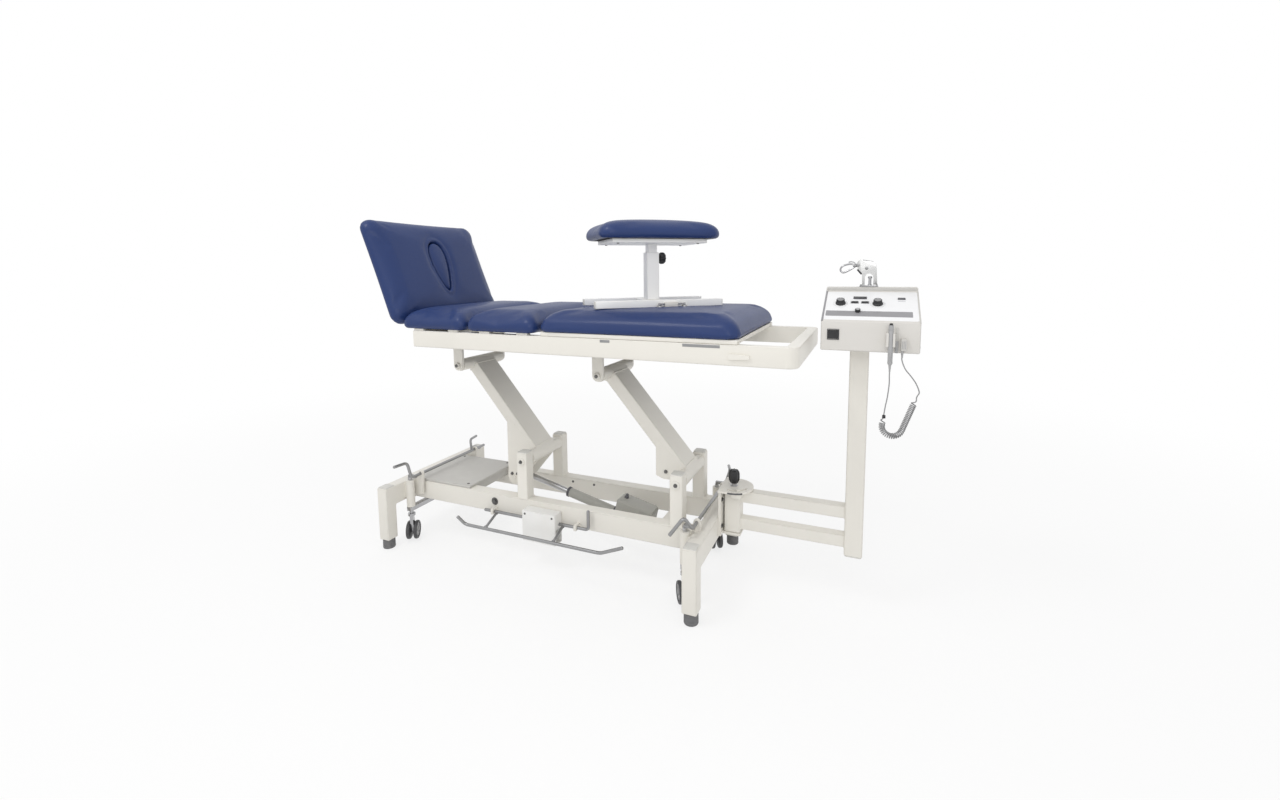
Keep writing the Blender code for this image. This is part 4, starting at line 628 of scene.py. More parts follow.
    def piece(self, name, body, *stands_for):
        """The finished piece on its body."""
        mesh = bpy.data.meshes.new(name)
        self.mesh.to_mesh(mesh)
        self.mesh.free()
        return set_piece(name, mesh, self.names, body, stands_for)


def set_piece(name, mesh, finishes, body, stands_for=(), sharp=38.0):
    """Put a mesh in the scene as a piece: finishes, smooth shading, body, and hiding the nodes it stands for."""
    for finish in finishes:
        mesh.materials.append(MATERIALS[finish])
    mesh.shade_smooth()
    mesh.set_sharp_from_angle(angle=math.radians(sharp))
    item = bpy.data.objects.new(name, mesh)
    bpy.context.scene.collection.objects.link(item)
    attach(item, body)
    if stands_for:
        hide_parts(*stands_for)
    return item


def body_of(node):
    """The CAD body that carries a node."""
    return frame["nodes"][node]["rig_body"]


def skin(node, finish):
    """A CAD node's own shape, welded and shaded so that its chamfers look rolled."""
    source = frame["nodes"][node].data
    places, points, faces = {}, [], []
    for polygon in source.polygons:
        face = []
        for index in polygon.vertices:
            point = source.vertices[index].co
            key = tuple(round(value * 1e5) for value in point)
            if key not in places:
                places[key] = len(points)
                points.append(tuple(point))
            face.append(places[key])
        if len(set(face)) == len(face):
            faces.append(face)
    mesh = bpy.data.meshes.new(f"{node}_skin")
    mesh.from_pydata(points, [], faces)
    item = set_piece(f"{node}_skin", mesh, [finish], body_of(node), [node], 52.0)
    shading = item.modifiers.new("rolled chamfers", "WEIGHTED_NORMAL")
    shading.mode = "FACE_AREA"
    shading.keep_sharp = True


def middle(node):
    """The middle of a CAD node's box."""
    low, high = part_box(node)
    return (low + high) / 2


def joint_at(name):
    """Where a joint is."""
    return Vector(JOINTS[name]["pos_m"])


def joint_axis(name):
    """The direction of a joint."""
    return Vector(JOINTS[name]["axis"]).normalized()


def on_stool(z):
    """A placement at a height on the stool's own turned axes."""
    centre = middle("stool_base")
    return at(centre.x, centre.y, z) @ rotated("Z", STOOL_YAW)


def stool_floor():
    """The height of the stool's underside."""
    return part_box("stool_base")[0].z


class TABLE_OT_stage(bpy.types.Operator):
    """Plain pale floor, soft light and the camera at the photograph's angle"""

    bl_idname = "table.stage"
    bl_label = "Stage"

    def execute(self, context):
        scene, stage = context.scene, context.scene.table_stage
        scene.view_settings.view_transform = "Standard"
        floor_radius, floor_sides, floor_z = 30.0, 64, -0.0005
        ring = arc((0.0, 0.0), floor_radius, 0, 360, floor_sides)[:-1]
        mesh = bpy.data.meshes.new("floor")
        mesh.from_pydata([(x, y, floor_z) for x, y in ring], [], [list(range(floor_sides))])
        mesh.materials.append(self.floor_finish(scene.table_finish))
        floor = bpy.data.objects.new("floor", mesh)
        scene.collection.objects.link(floor)
        sky = Surface(bpy.data.worlds.new("studio"), "Background")
        scene.world = sky.done(color=(1.0, 1.0, 1.0), strength=stage.ambient + (1.0 - stage.ambient) * sky.seen())
        self.lamp("key_light", stage.key, 0.9, (-0.9, -1.6, 3.4))
        self.lamp("fill_light", stage.fill, 1.0, (1.1, -1.9, 1.9))
        self.camera(scene, stage)
        return {"FINISHED"}

    def camera(self, scene, stage):
        """The camera as fitted to the photograph."""
        camera = bpy.data.objects.new("camera", bpy.data.cameras.new("camera"))
        scene.collection.objects.link(camera)
        camera.data.sensor_width = 36.0
        camera.data.lens = stage.lens
        camera.data.shift_y = stage.shift
        camera.data.clip_start = 0.05
        ahead = Vector((-math.sin(stage.azimuth) * math.cos(stage.pitch),
                        math.cos(stage.azimuth) * math.cos(stage.pitch), -math.sin(stage.pitch)))
        level_side = Vector((math.cos(stage.azimuth), math.sin(stage.azimuth), 0.0))
        level_up = level_side.cross(ahead)
        side = level_side * math.cos(stage.roll) + level_up * math.sin(stage.roll)
        up = level_up * math.cos(stage.roll) - level_side * math.sin(stage.roll)
        camera.matrix_world = at(*stage.place) @ Matrix((side, up, -ahead)).transposed().to_4x4()
        scene.camera = camera

    def floor_finish(self, finish):
        """A white floor that keeps the table's shadow and fades into the white surroundings."""
        s = material("floor")
        far = s.node("ShaderNodeVectorMath", {"operation": "LENGTH"}, (s.place(),), "Value").clipped(1.2, 4.5)
        share = s.seen() * (0.76 + 0.24 * far)
        glow = s.node("ShaderNodeEmission", {}, {"Strength": 1.0})
        lit = Field(s, s.shader.outputs[0])
        s.wire(s.tree.nodes["Material Output"].inputs["Surface"],
               s.node("ShaderNodeMixShader", {}, (share, lit, glow)))
        return s.done(base_color=finish.floor, roughness=0.85, specular_ior_level=0.1)

    def lamp(self, name, power, size, place):
        """A large soft square light aimed at the table's middle."""
        light = bpy.data.lights.new(name, "AREA")
        light.energy = power
        light.size = size
        lamp = bpy.data.objects.new(name, light)
        bpy.context.scene.collection.objects.link(lamp)
        lamp.location = place
        lamp.rotation_euler = (Vector((-0.1, 0.0, 0.6)) - Vector(place)).to_track_quat("-Z", "Y").to_euler()


LOOP_Y = -0.134  # the plane in which the cord hangs
CURL_RADIUS = 0.0072
CURL_POINTS = 18  # points on a turn
CURL_PITCH = 0.0008  # advance along the line per radian
CURL_RUN_IN = 0.0037  # more advance where the curl begins
CURL_EASE = 1.25  # turns over which the curl reaches its full radius
SLEEVE = [(1.9, -20), (2.4, -19), (2.6, -12), (3.1, -11), (3.1, -8), (3.4, -7), (3.8, 0), (1.9, 0)]
COLLAR = [(1.9, -5), (4, -5), (4.6, -4), (4.6, 4), (4, 5), (1.9, 5)]


class TABLE_OT_cord(bpy.types.Operator):
    """Hand switch's cord: plain lead, curled stretch and plain tail to its socket"""

    bl_idname = "table.cord"
    bl_label = "Hand switch cord"

    def execute(self, context):
        thick = context.scene.table_form.cord_diameter
        bottom = CONSOLE_LOW.z

        def hang(x, drop):
            """A point of the cord from the post along and from the console's underside down."""
            return Vector((POST_X + x, LOOP_Y, bottom - drop))

        lead_top = Vector((POST_X + 0.084, -0.140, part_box("hand_switch")[0].z - 0.0003))
        tail_end = Vector((POST_X + 0.1155, -0.128, bottom + 0.0077))
        line = [hang(x, drop) for x, drop in arc((0.096, 0.2145), 0.027, -171, -342, 60)]
        line.insert(0, line[0] + (line[0] - line[1]).normalized() * 0.034)
        line.append(line[-1] + (line[-1] - line[-2]).normalized() * 0.112)
        curl, way_in, way_out = self.curl(line)
        way_in, way_out = way_in * 0.012, way_out * 0.012
        down = Vector((0.0, 0.0, -0.010))
        lead = smooth_path([lead_top, lead_top + down, lead_top + down * 3, hang(0.0845, 0.088),
                            hang(0.0815, 0.124), curl[0] - way_in * 2, curl[0] - way_in, curl[0]], 8)[:-1]
        tail = smooth_path([curl[-1], curl[-1] + way_out, hang(0.1535, 0.082), hang(0.1400, 0.062),
                            hang(0.1245, 0.042), tail_end + down * 2.6, tail_end + down, tail_end], 8)[1:]
        path = (lead + curl + tail)[::-1]
        curve = bpy.data.curves.new("hand_switch_cord", "CURVE")
        curve.dimensions = "3D"
        curve.bevel_depth = thick / 2
        curve.bevel_resolution = 3
        curve.use_fill_caps = True
        spline = curve.splines.new("POLY")
        spline.points.add(len(path) - 1)
        for point, place in zip(spline.points, path):
            point.co = (*place, 1.0)
        spline.use_smooth = True
        curve.materials.append(MATERIALS["cord"])
        cord = bpy.data.objects.new("hand_switch_cord", curve)
        context.scene.collection.objects.link(cord)
        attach(cord, "stand")
        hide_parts("handset_cord_lead", "handset_cord_curls", "handset_cord_tail")
        run = sum((b - a).length for a, b in zip(path, path[1:]))
        relief = Form()
        for end in (lead_top, tail_end):
            relief.lathe("grey", SLEEVE, 20, at(*end))
        relief.lathe("black", COLLAR, 24, upright(curl[6], curl[6] - curl[5]))
        sleeves = relief.piece("cord_relief_sleeves", "stand")
        return {"FINISHED"}

    def curl(self, line):
        """The wire wound round a line, and the line's direction at both ends.

        It winds up to its full curl gradually, so that no bend is tighter than two diameters.
        """
        reach = [0.0]
        for a, b in zip(line, line[1:]):
            reach.append(reach[-1] + (b - a).length)
        total = reach[-1]

        def along(distance):
            """Place and direction on the line."""
            i = 1
            while i < len(reach) - 1 and reach[i] < distance:
                i += 1
            t = (distance - reach[i - 1]) / (reach[i] - reach[i - 1])
            return line[i - 1].lerp(line[i], t), (line[i] - line[i - 1]).normalized()

        half, distance, turn = [], 0.0, 0.0
        while distance < total / 2:
            part = min(1.0, turn / (CURL_EASE * math.tau))
            half.append((distance, turn, CURL_RADIUS * part * part * (3.0 - 2.0 * part)))
            distance += (CURL_PITCH + CURL_RUN_IN * (1.0 - part ** 3)) * math.tau / CURL_POINTS
            turn += math.tau / CURL_POINTS
        rest = [(2 * distance - place, 2 * turn - angle, spread) for place, angle, spread in reversed(half)]
        beside = Vector((0.0, 1.0, 0.0))
        points = []
        for place, angle, spread in half + [(distance, turn, CURL_RADIUS)] + rest:
            centre, way = along(place * total / (2 * distance))
            points.append(centre + (beside * math.cos(angle) + way.cross(beside) * math.sin(angle)) * spread)
        return points, along(0.0)[1], along(total)[1]


HEAD_SIZE = Vector((0.440, 0.618, 0.068))
SLOT_MIDDLE = -0.006  # the face slot along the head cushion
SLOT_POINTS = 84
TUCK = 0.045  # reach of the folds at a cushion's lower corners
CLOTH = {"quality": 4, "mass": 0.3, "tension_stiffness": 30.0, "compression_stiffness": 30.0,
         "shear_stiffness": 15.0, "bending_stiffness": 4.0, "air_damping": 3.0, "vertex_group_mass": "held",
         "use_pressure": True}


class TABLE_OT_cushions(bpy.types.Operator):
    """Five foam cushions and the face slot's plug in vinyl, swelled by a short cloth simulation"""

    bl_idname = "table.cushions"
    bl_label = "Cushions"

    def execute(self, context):
        form = context.scene.table_form
        for name, corner in (("chest_cushion", 0.030), ("lumbar_cushion", 0.030), ("leg_cushion", 0.044)):
            low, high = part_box(name)
            self.pad(form, name, high - low, corner, at((low.x + high.x) / 2, 0.0, low.z), 0.85)
        place = at(*joint_at("head_tilt")) @ rotated("Y", HEAD_LEAN) @ at(-HEAD_SIZE.x / 2, 0.0, 0.014)
        self.pad(form, "head_cushion", HEAD_SIZE, 0.045, place, 0.8, True)
        self.pad(form, "face_slot_plug", HEAD_SIZE, 0.0, place, 0.8)
        low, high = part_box("stool_cushion")
        centre = middle("stool_cushion")
        place = at(centre.x, centre.y, low.z) @ rotated("Z", STOOL_YAW)
        self.pad(form, "stool_cushion", Vector((0.440, 0.300, high.z - low.z)), 0.048, place, 0.85)
        return {"FINISHED"}

    def slot_outline(self, inset, count):
        """The face slot's teardrop about the head cushion's middle, drawn in by an inset."""
        outline = []
        for i in range(count):
            turn = math.radians(45.0) + math.tau * (i - 4) / count
            wide = 0.045 * (1 - 0.40 * math.cos(turn)) - inset
            outline.append((SLOT_MIDDLE + (0.111 - inset) * math.cos(turn), wide * math.sin(turn)))
        return outline

    def plug_form(self, thick, shrink):
        """The face slot's padded plug: upright sides, rolled rim and domed top."""
        part = bmesh.new()
        gap, rim = 0.0008 + shrink, thick - 0.022
        levels = [(0.006, 0.004), (0.0015, 0.006), (0.0, 0.010), (0.0, rim)]
        for turn in map(math.radians, range(15, 91, 15)):
            levels.append((0.014 * (1 - math.cos(turn)), rim + 0.020 * math.sin(turn)))
        rings = [[part.verts.new((x, y, z)) for x, y in self.slot_outline(inset + gap, SLOT_POINTS)]
                 for inset, z in levels]
        part.faces.new(rings[0])
        peak = part.verts.new((SLOT_MIDDLE, 0.0, thick + 0.002))
        bridge(part, rings)
        fan(part, rings[-1], peak)
        return mesh_of(part, "pad")

    def pad_form(self, form, size, corner, slot, shrink):
        """Closed pad of rings: upright base, sloped edge and crowned top, with the face slot through it if asked."""
        half_x, half_y, top = size.x / 2 - shrink, size.y / 2 - shrink, size.z - shrink
        rise = top - form.crown - form.edge_base
        levels = [(0.010, 0.0), (0.004, 0.0025), (0.001, 0.007), (0.0, 0.012), (0.0, form.edge_base)]
        for turn in map(math.radians, range(12, 91, 13)):
            levels.append((form.edge_run * (1 - math.cos(turn)), form.edge_base + rise * math.sin(turn)))
        part = bmesh.new()
        rings = []
        for inset, height in levels:
            radius = max(corner - 0.35 * inset, 0.018)
            outline = round_rect(half_x - inset, half_y - inset, radius, 8, 12, 0.0035)
            rings.append([part.verts.new((x, y, height)) for x, y in outline])
        count = len(rings[0])
        outer = [vert.co.copy() for vert in rings[-1]]
        inner = self.slot_outline(-0.0008, count) if slot else [(0.0, 0.0)] * count
        for t in (step / 10 for step in range(1, 10)):
            height = top - form.crown * (1 - t) ** 2
            rings.append([part.verts.new((*start.xy.lerp(Vector(goal), t), height))
                          for start, goal in zip(outer, inner)])
        if slot:
            for height in (top - 0.002, top - 0.008, top - 0.020, 0.0):
                rings.append([part.verts.new((x, y, height)) for x, y in inner])
            rings.append(rings[0])
        else:
            fan(part, rings[-1], part.verts.new((0.0, 0.0, top)))
            fan(part, rings[0][::-1], part.verts.new((0.0, 0.0, 0.0)))
        bridge(part, rings)
        return mesh_of(part, "pad")

    def pad(self, form, node, size, corner, place, fill, slot=False):
        """One cushion: a closed form, remeshed, swelled, detailed and set on its body."""
        shrink = form.swell * 0.5
        plug = node == "face_slot_plug"
        mesh = self.plug_form(size.z, shrink * 0.4) if plug else self.pad_form(form, size, corner, slot, shrink)
        item = bpy.data.objects.new("pad", mesh)
        bpy.context.scene.collection.objects.link(item)
        remesh = item.modifiers.new("remesh", "REMESH")
        remesh.mode = "VOXEL"
        remesh.voxel_size = 0.0045 if plug else form.voxel
        mesh = self.applied(item)
        mesh = self.swelled(form, mesh, form.swell * (0.3 if plug else 1.0))
        self.ease(mesh, 3)
        if not plug:
            self.details(mesh, size, slot)
        board_x, board_y = size.x / 2 - 0.028, size.y / 2 - 0.028
        under = [polygon.normal.z < -0.97 and polygon.center.z < 0.004
                 and abs(polygon.center.x) < board_x and abs(polygon.center.y) < board_y
                 for polygon in mesh.polygons]
        mesh.transform(place)
        cushion = set_piece(f"{node}_upholstery", mesh, ["navy", "cover"], body_of(node), [node], 80.0)
        for polygon, below in zip(mesh.polygons, under):
            polygon.material_index = 1 if below else 0
        finer = cushion.modifiers.new("finer", "SUBSURF")
        finer.levels = finer.render_levels = 1

    def applied(self, item):
        """The mesh of an object with its modifiers applied; the object goes."""
        bpy.context.view_layer.update()
        mesh = bpy.data.meshes.new_from_object(item.evaluated_get(bpy.context.evaluated_depsgraph_get()))
        bpy.data.objects.remove(item, do_unlink=True)
        return mesh

    def swelled(self, form, mesh, most):
        """The pad blown out a little, held at its underside, no point moved further than the cap."""
        scene = bpy.context.scene
        rest = [vert.co.copy() for vert in mesh.vertices]
        item = bpy.data.objects.new("pad", mesh)
        scene.collection.objects.link(item)
        group = item.vertex_groups.new(name="held")
        group.add([vert.index for vert in mesh.vertices if vert.co.z < 0.010], 1.0, "REPLACE")
        cloth = item.modifiers.new("cloth", "CLOTH")
        for key, value in CLOTH.items():
            setattr(cloth.settings, key, value)
        cloth.settings.uniform_pressure_force = form.pressure
        cloth.settings.effector_weights.gravity = 0.0
        cloth.collision_settings.use_collision = False
        cloth.point_cache.frame_start = 1
        cloth.point_cache.frame_end = form.frames
        for step in range(1, form.frames + 1):
            scene.frame_set(step)
        result = self.applied(item)
        for vert, start in zip(result.vertices, rest):
            shift = vert.co - start
            if shift.length > most:
                vert.co = start + shift * (most / shift.length)
        scene.frame_set(1)
        return result

    def ease(self, mesh, rounds):
        """Even out the remeshed facets."""
        part = bmesh.new()
        part.from_mesh(mesh)
        free = [vert for vert in part.verts if vert.co.z > 0.003]
        for _ in range(rounds):
            bmesh.ops.smooth_vert(part, verts=free, factor=0.5, use_axis_x=True, use_axis_y=True, use_axis_z=True)
        part.to_mesh(mesh)
        part.free()

    def details(self, mesh, size, slot):
        """Corner tucks pulled under the board, and the rolled rim of the face slot."""
        half_x, half_y = size.x / 2, size.y / 2
        rim = [Vector(point) for point in self.slot_outline(0.0, 96)] if slot else []
        for vert in mesh.vertices:
            x, y, z = vert.co
            near = Vector((abs(x) - half_x + TUCK, abs(y) - half_y + TUCK))
            if near.x > 0.0 and near.y > 0.0 and z < TUCK:
                turn = math.atan2(near.y, near.x)
                fold = math.sin(turn * 14.0) * 0.0011 * (1 - z / TUCK) * min(1.0, near.length / 0.03)
                push = near.normalized() * fold
                vert.co.x += math.copysign(push.x, x)
                vert.co.y += math.copysign(push.y, y)
            if slot and z > size.z - 0.030 and abs(x) < 0.16 and abs(y) < 0.10:
                gap = min((point - vert.co.xy).length for point in rim)
                vert.co.z += 0.0045 * math.exp(-((gap - 0.007) / 0.006) ** 2)
                vert.co.z -= 0.0014 * math.exp(-((gap - 0.022) / 0.006) ** 2)


class TABLE_OT_frames(bpy.types.Operator):
    """Painted steel, plated and moulded pieces that keep their CAD shape"""

    bl_idname = "table.frames"
    bl_label = "Frames and housings"

    def execute(self, context):
        finishes = {
            "ivory": ("left_leg_frame", "right_leg_frame", "front_base_rail", "back_base_rail",
                      "actuator_crossbeam", "stand_bracket", "left_lift_arm", "right_lift_arm", "table_frame",
                      "leg_carriage", "head_support", "stand_frame", "section_lock_lever"),
            "stool": ("stool_base", "stool_stem"),
            "console": ("console_housing",),
            "box": ("treadle_box",),
            # the shelf plate's greyer finish is painted shade of the table above it
            "shelf": ("shelf_plate",),
            "drive": ("actuator_body",),
            "shaft": ("actuator_rod", "left_caster_carrier", "right_caster_carrier"),
            "chrome": [f"{corner}_caster_fork" for corner in CORNERS],
            "black": ("left_key", "right_key", "power_rocker"),
        }
        for finish, nodes in finishes.items():
            for node in nodes:
                skin(node, finish)
        return {"FINISHED"}


FOOT = [(0, 0), (19.5, 0), (22.5, 1.2), (23.8, 4), (23.8, 10), (23.1, 11.5), (23.1, 12.5), (23.8, 14), (23.6, 26),
        (22.8, 27.5), (22.8, 29), (23.6, 30.5), (23.2, 36.5), (21.5, 38), (0, 38)]


class TABLE_OT_feet(bpy.types.Operator):
    """Rubber feet, leg caps and tube plugs"""

    bl_idname = "table.feet"
    bl_label = "Feet and caps"

    def execute(self, context):
        caps = Form()
        leg_top, post_top = 0.253, 0.032
        for corner in CORNERS:
            centre = middle(f"{corner}_foot")
            foot = Form(at(centre.x, centre.y))
            foot.lathe("rubber", FOOT, 40)
            foot.piece(f"{corner}_foot_rubber", "base", f"{corner}_foot")
            self.cap(caps, at(centre.x, centre.y, leg_top), 0.0215)
        for _, joint in ARMS:
            pivot = joint_at(joint)
            for hand in HANDS:
                self.cap(caps, at(pivot.x, hand * RAIL_Y, pivot.z + post_top), 0.0205)
        caps.piece("base_tube_caps", "base")
        plug = Form()
        self.cap(plug, at(POST_X, 0.0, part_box("stand_frame")[0].z - 0.0025), 0.0255, 0.0065, 0.0009)
        plug.piece("stand_post_plug", "stand")
        ends = Form(on_stool(stool_floor()))
        for along in HANDS:
            low, high = sorted((along * 0.226, along * 0.2322))
            for hand in HANDS:
                y = hand * 0.095
                ends.block("cap", (low, y - 0.0115, 0.001), (high, y + 0.0115, 0.024), 0.0012)
        ends.piece("stool_bar_plugs", "stool")
        return {"FINISHED"}

    def cap(self, form, place, half, tall=0.0032, rounding=0.0008):
        """A square moulded cap on a tube's end."""
        form.prism("cap", round_rect(half, half, 0.004), 0.0, tall, rounding, place)


TYRE = [(5.2, 7.6), (33, 7.6), (35.2, 8.4), (36.8, 10.2), (37.5, 12.5), (37.5, 17.2), (36.8, 19.6), (35.2, 21.4),
        (33, 22), (29, 21.6), (28, 19.6), (27, 18.6), (12, 19.6), (9.5, 20.8), (0, 21.2)]
HUB_RING = [(12.5, 19), (26.5, 18.4), (26.2, 19.2), (13, 20)]
HUB_CAP = [(0, 20.8), (7.5, 20.6), (7, 21.9), (0, 22.6)]
SPOKES = 5


class TABLE_OT_casters(bpy.types.Operator):
    """Twin wheels with tyres, hub caps and axle ends"""

    bl_idname = "table.casters"
    bl_label = "Casters"

    def execute(self, context):
        for corner in CORNERS:
            joint = f"{corner}_wheel_spin"
            wheel = Form(upright(joint_at(joint), joint_axis(joint)))
            for flip in (0, 180):
                place = rotated("X", flip)
                wheel.lathe("wheel", TYRE, 48, place)
                wheel.lathe("grey", HUB_RING, 40, place)
                wheel.lathe("grey", HUB_CAP, 24, place)
                for i in range(SPOKES):
                    wheel.block("wheel", (0.0128, -0.0016, 0.0188), (0.0262, 0.0016, 0.0203), 0.0005, 2,
                                place @ rotated("Z", 360 * i / SPOKES))
            wheel.lathe("shaft", rod(3.9, -7.6, 7.6), 20)
            wheel.piece(f"{corner}_twin_wheel", f"{corner}_wheel", f"{corner}_caster_wheel")
        return {"FINISHED"}


ROD_RADIUS = 0.006
PEDAL_ENDS = {  # front and back ends of each pedal bar, from its axis
    "left": ([(-0.024, -0.285, 0.062), (-0.014, -0.228, 0.063)],
             [(0.0, 0.145, 0.0), (-0.010, 0.150, 0.050), (-0.016, 0.200, 0.052)]),
    "right": ([(-0.062, -0.265, -0.012), (-0.020, -0.246, 0.046)],
              [(0.0, 0.228, 0.0), (0.012, 0.235, 0.040), (-0.002, 0.272, 0.044)]),
}


class TABLE_OT_pedals(bpy.types.Operator):
    """Bent rods: treadle and caster pedals"""

    bl_idname = "table.pedals"
    bl_label = "Treadle and pedals"

    def execute(self, context):
        rods = Form(at(*joint_at("treadle_press")))
        foot_y, foot_z = -0.078, -0.033
        upper = [(-0.238, 0.0, 0.0), (0.222, 0.0, 0.0), (0.222, 0.0, 0.070)]
        lower = [(-0.290, foot_y - 0.020, foot_z + 0.036), (-0.272, foot_y, foot_z),
                 (0.308, foot_y, foot_z), (0.402, foot_y - 0.020, foot_z + 0.047)]
        rods.sweep("steel", rounded_path(upper, 0.014), ROD_RADIUS, 20)
        rods.sweep("steel", rounded_path(lower, 0.016), ROD_RADIUS, 20)
        for x in (-0.180, 0.118):
            ends = Vector((x, 0.0, 0.0)), Vector((x, foot_y, foot_z))
            rods.sweep("steel", ends, 0.005, 20)
            inwards = (ends[1] - ends[0]).normalized() * 0.0062
            for end in (ends[0] + inwards, ends[1] - inwards):
                ring = [end + Vector((u, 0.0, v)) for u, v in arc((0.0, 0.0), 0.0058, 0, 340, 17)]
                rods.sweep("steel", ring, 0.0016, 8, 0.18, True)
        rods.piece("treadle_rods", "treadle", "foot_treadle")
        for side, (front, back) in PEDAL_ENDS.items():
            axis = joint_at(f"{side}_pedal_turn")
            rods = Form(at(axis.x, 0.0, axis.z))
            rods.sweep("steel", rounded_path([*front, (0.0, -0.222, 0.0), (0.0, 0.232, 0.0)], 0.016), ROD_RADIUS, 20)
            rods.sweep("steel", rounded_path(back, 0.014), 0.0055, 20)
            for hand in HANDS:
                y = hand * 0.20
                rods.block("steel", (-0.036, y - 0.006, -0.0087), (0.003, y + 0.006, 0.002))
            rods.piece(f"{side}_pedal_rods", f"{side}_pedal", f"{side}_pedal_bar")
        return {"FINISHED"}


SCREW = [(0, 0), (5, 0), (4.5, 1.8), (2.2, 2.8), (0, 2.9)]
SHELF_SCREW = [(0, 0), (5.2, 0), (4.6, 1.8), (2.2, 2.7), (0, 2.8)]
BOX_SCREW = [(0, 0), (4, 0), (3.6, 1.4), (1.8, 2.2), (0, 2.3)]
CONSOLE_SCREW = [(0, 0), (4.2, 0), (3.8, 1.3), (2, 2.1), (0, 2.2)]
PIVOT_BOSS = [(0, 0.3), (15, 0.3), (15, 3), (13.8, 4.2), (0, 4.2)]
ARM_FACE = 0.0606  # outer face of an arm's plates
BASE_FACE = 0.1552  # outer face of the base rails
ARM_BOLTS = {  # x and z from the foot joint, then the head's width and height and its washer
    "left": ((-0.112, -0.094, 9, 4, 12.5), (-0.086, -0.092, 9, 4, 12.5)),
    "right": ((-0.070, 0.006, 10, 4.5, 14),),
}


class TABLE_OT_fasteners(bpy.types.Operator):
    """Pivot bolts, washers, small screws, and two dark strips on the frame's front that paint the shade of the gaps
    under the cushion
    """

    bl_idname = "table.fasteners"
    bl_label = "Fasteners"

    def execute(self, context):
        for side, joint in ARMS:
            pivot = joint_at(joint)
            shaft = Form()
            for hand in HANDS:
                out = outward(hand, pivot.x, 0.1535, pivot.z)
                shaft.lathe("ivory", PIVOT_BOSS, 40, out)
                shaft.hexagon(out @ at(0, 0, 0.0042), 10, 4.5, 14)
            shaft.lathe("shaft", rod(10, -153, 153), 24, upright(pivot, (0, 1, 0)))
            shaft.piece(f"{side}_lower_pivot_bolt", "base", f"{side}_lower_shaft")
        for side, joint in ARMS:
            pivot = joint_at(joint)
            top = joint_at("table_level") + pivot - joint_at("lift")
            bolts = Form()
            for hand in HANDS:
                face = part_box(f"{side}_lift_arm")[1].y + 0.0001
                bolts.hexagon(outward(hand, top.x, face, top.z), 12, 4)
                for x, z, *size in ARM_BOLTS[side]:
                    bolts.hexagon(outward(hand, pivot.x + x, ARM_FACE, pivot.z + z), *size)
            bolts.piece(f"{side}_arm_bolts", f"{side}_arm")
        self.base()
        table = Form()
        # two dark strips on the frame's front rail: painted shade standing for the shadow gaps under the cushion, not
        # parts
        for start, end in ((0.057, 0.091), (0.334, 0.449)):
            table.block("steel", (start, -0.3006, 0.8897), (end, -0.2990, 0.8985), 0.0004)
        table.piece("table_painted_shade_strips", "table")
        head = Form()
        hinge = joint_at("head_tilt")
        for hand in HANDS:
            head.hexagon(outward(hand, hinge.x, 0.1361, hinge.z), 13, 5, 17)
        head.piece("head_hinge_bolts", "head")
        return {"FINISHED"}

    def base(self):
        """Bolts and screws of the rails, bracket, shelf and treadle box, and a dark crescent under the bracket's
        swivel plate that paints the shade of the gap there.
        """
        base = Form()
        for hand, node in zip(HANDS, ("front_base_rail", "back_base_rail")):
            low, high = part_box(node)
            for x in (low.x + 0.03, high.x - 0.03):
                base.hexagon(outward(hand, x, BASE_FACE, RAIL_Z), 10, 4.5, 16)
        bracket_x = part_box("stand_bracket")[0].x + 0.0102
        for y in (-0.038, 0.038):
            for z in (0.222, 0.318):
                base.hexagon(upright((bracket_x, y, z), (1, 0, 0)), 10, 5, 16)
        base.hexagon(outward(-1, -0.493, BASE_FACE, 0.2156), 17, 7, 30)
        for x in (-0.289, -0.189):
            base.lathe("bolt", SCREW, 24, upright((x, 0.1048, 0.230), (0, -1, 0)))
        swivel = (joint_at("stand_swivel").x, 0.0)
        # a thin dark crescent at the swivel plate's rim: painted shade of the gap under the plate, not a part
        inner, outer = (arc(swivel, radius, -124, -53, 20) for radius in (0.0660, 0.0685))
        base.prism("ink", outer + inner[::-1], 0.3522, 0.3578)
        low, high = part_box("shelf_plate")
        for x in (low.x + 0.022, high.x - 0.024):
            for y in (-0.130, 0.130):
                base.lathe("bolt", SHELF_SCREW, 24, at(x, y, high.z))
        low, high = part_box("treadle_box")
        for x in (low.x + 0.014, high.x - 0.014):
            for z in (low.z + 0.012, high.z - 0.012):
                base.lathe("bolt", BOX_SCREW, 20, upright((x, low.y, z), (0, -1, 0)))
        base.piece("base_fasteners", "base")


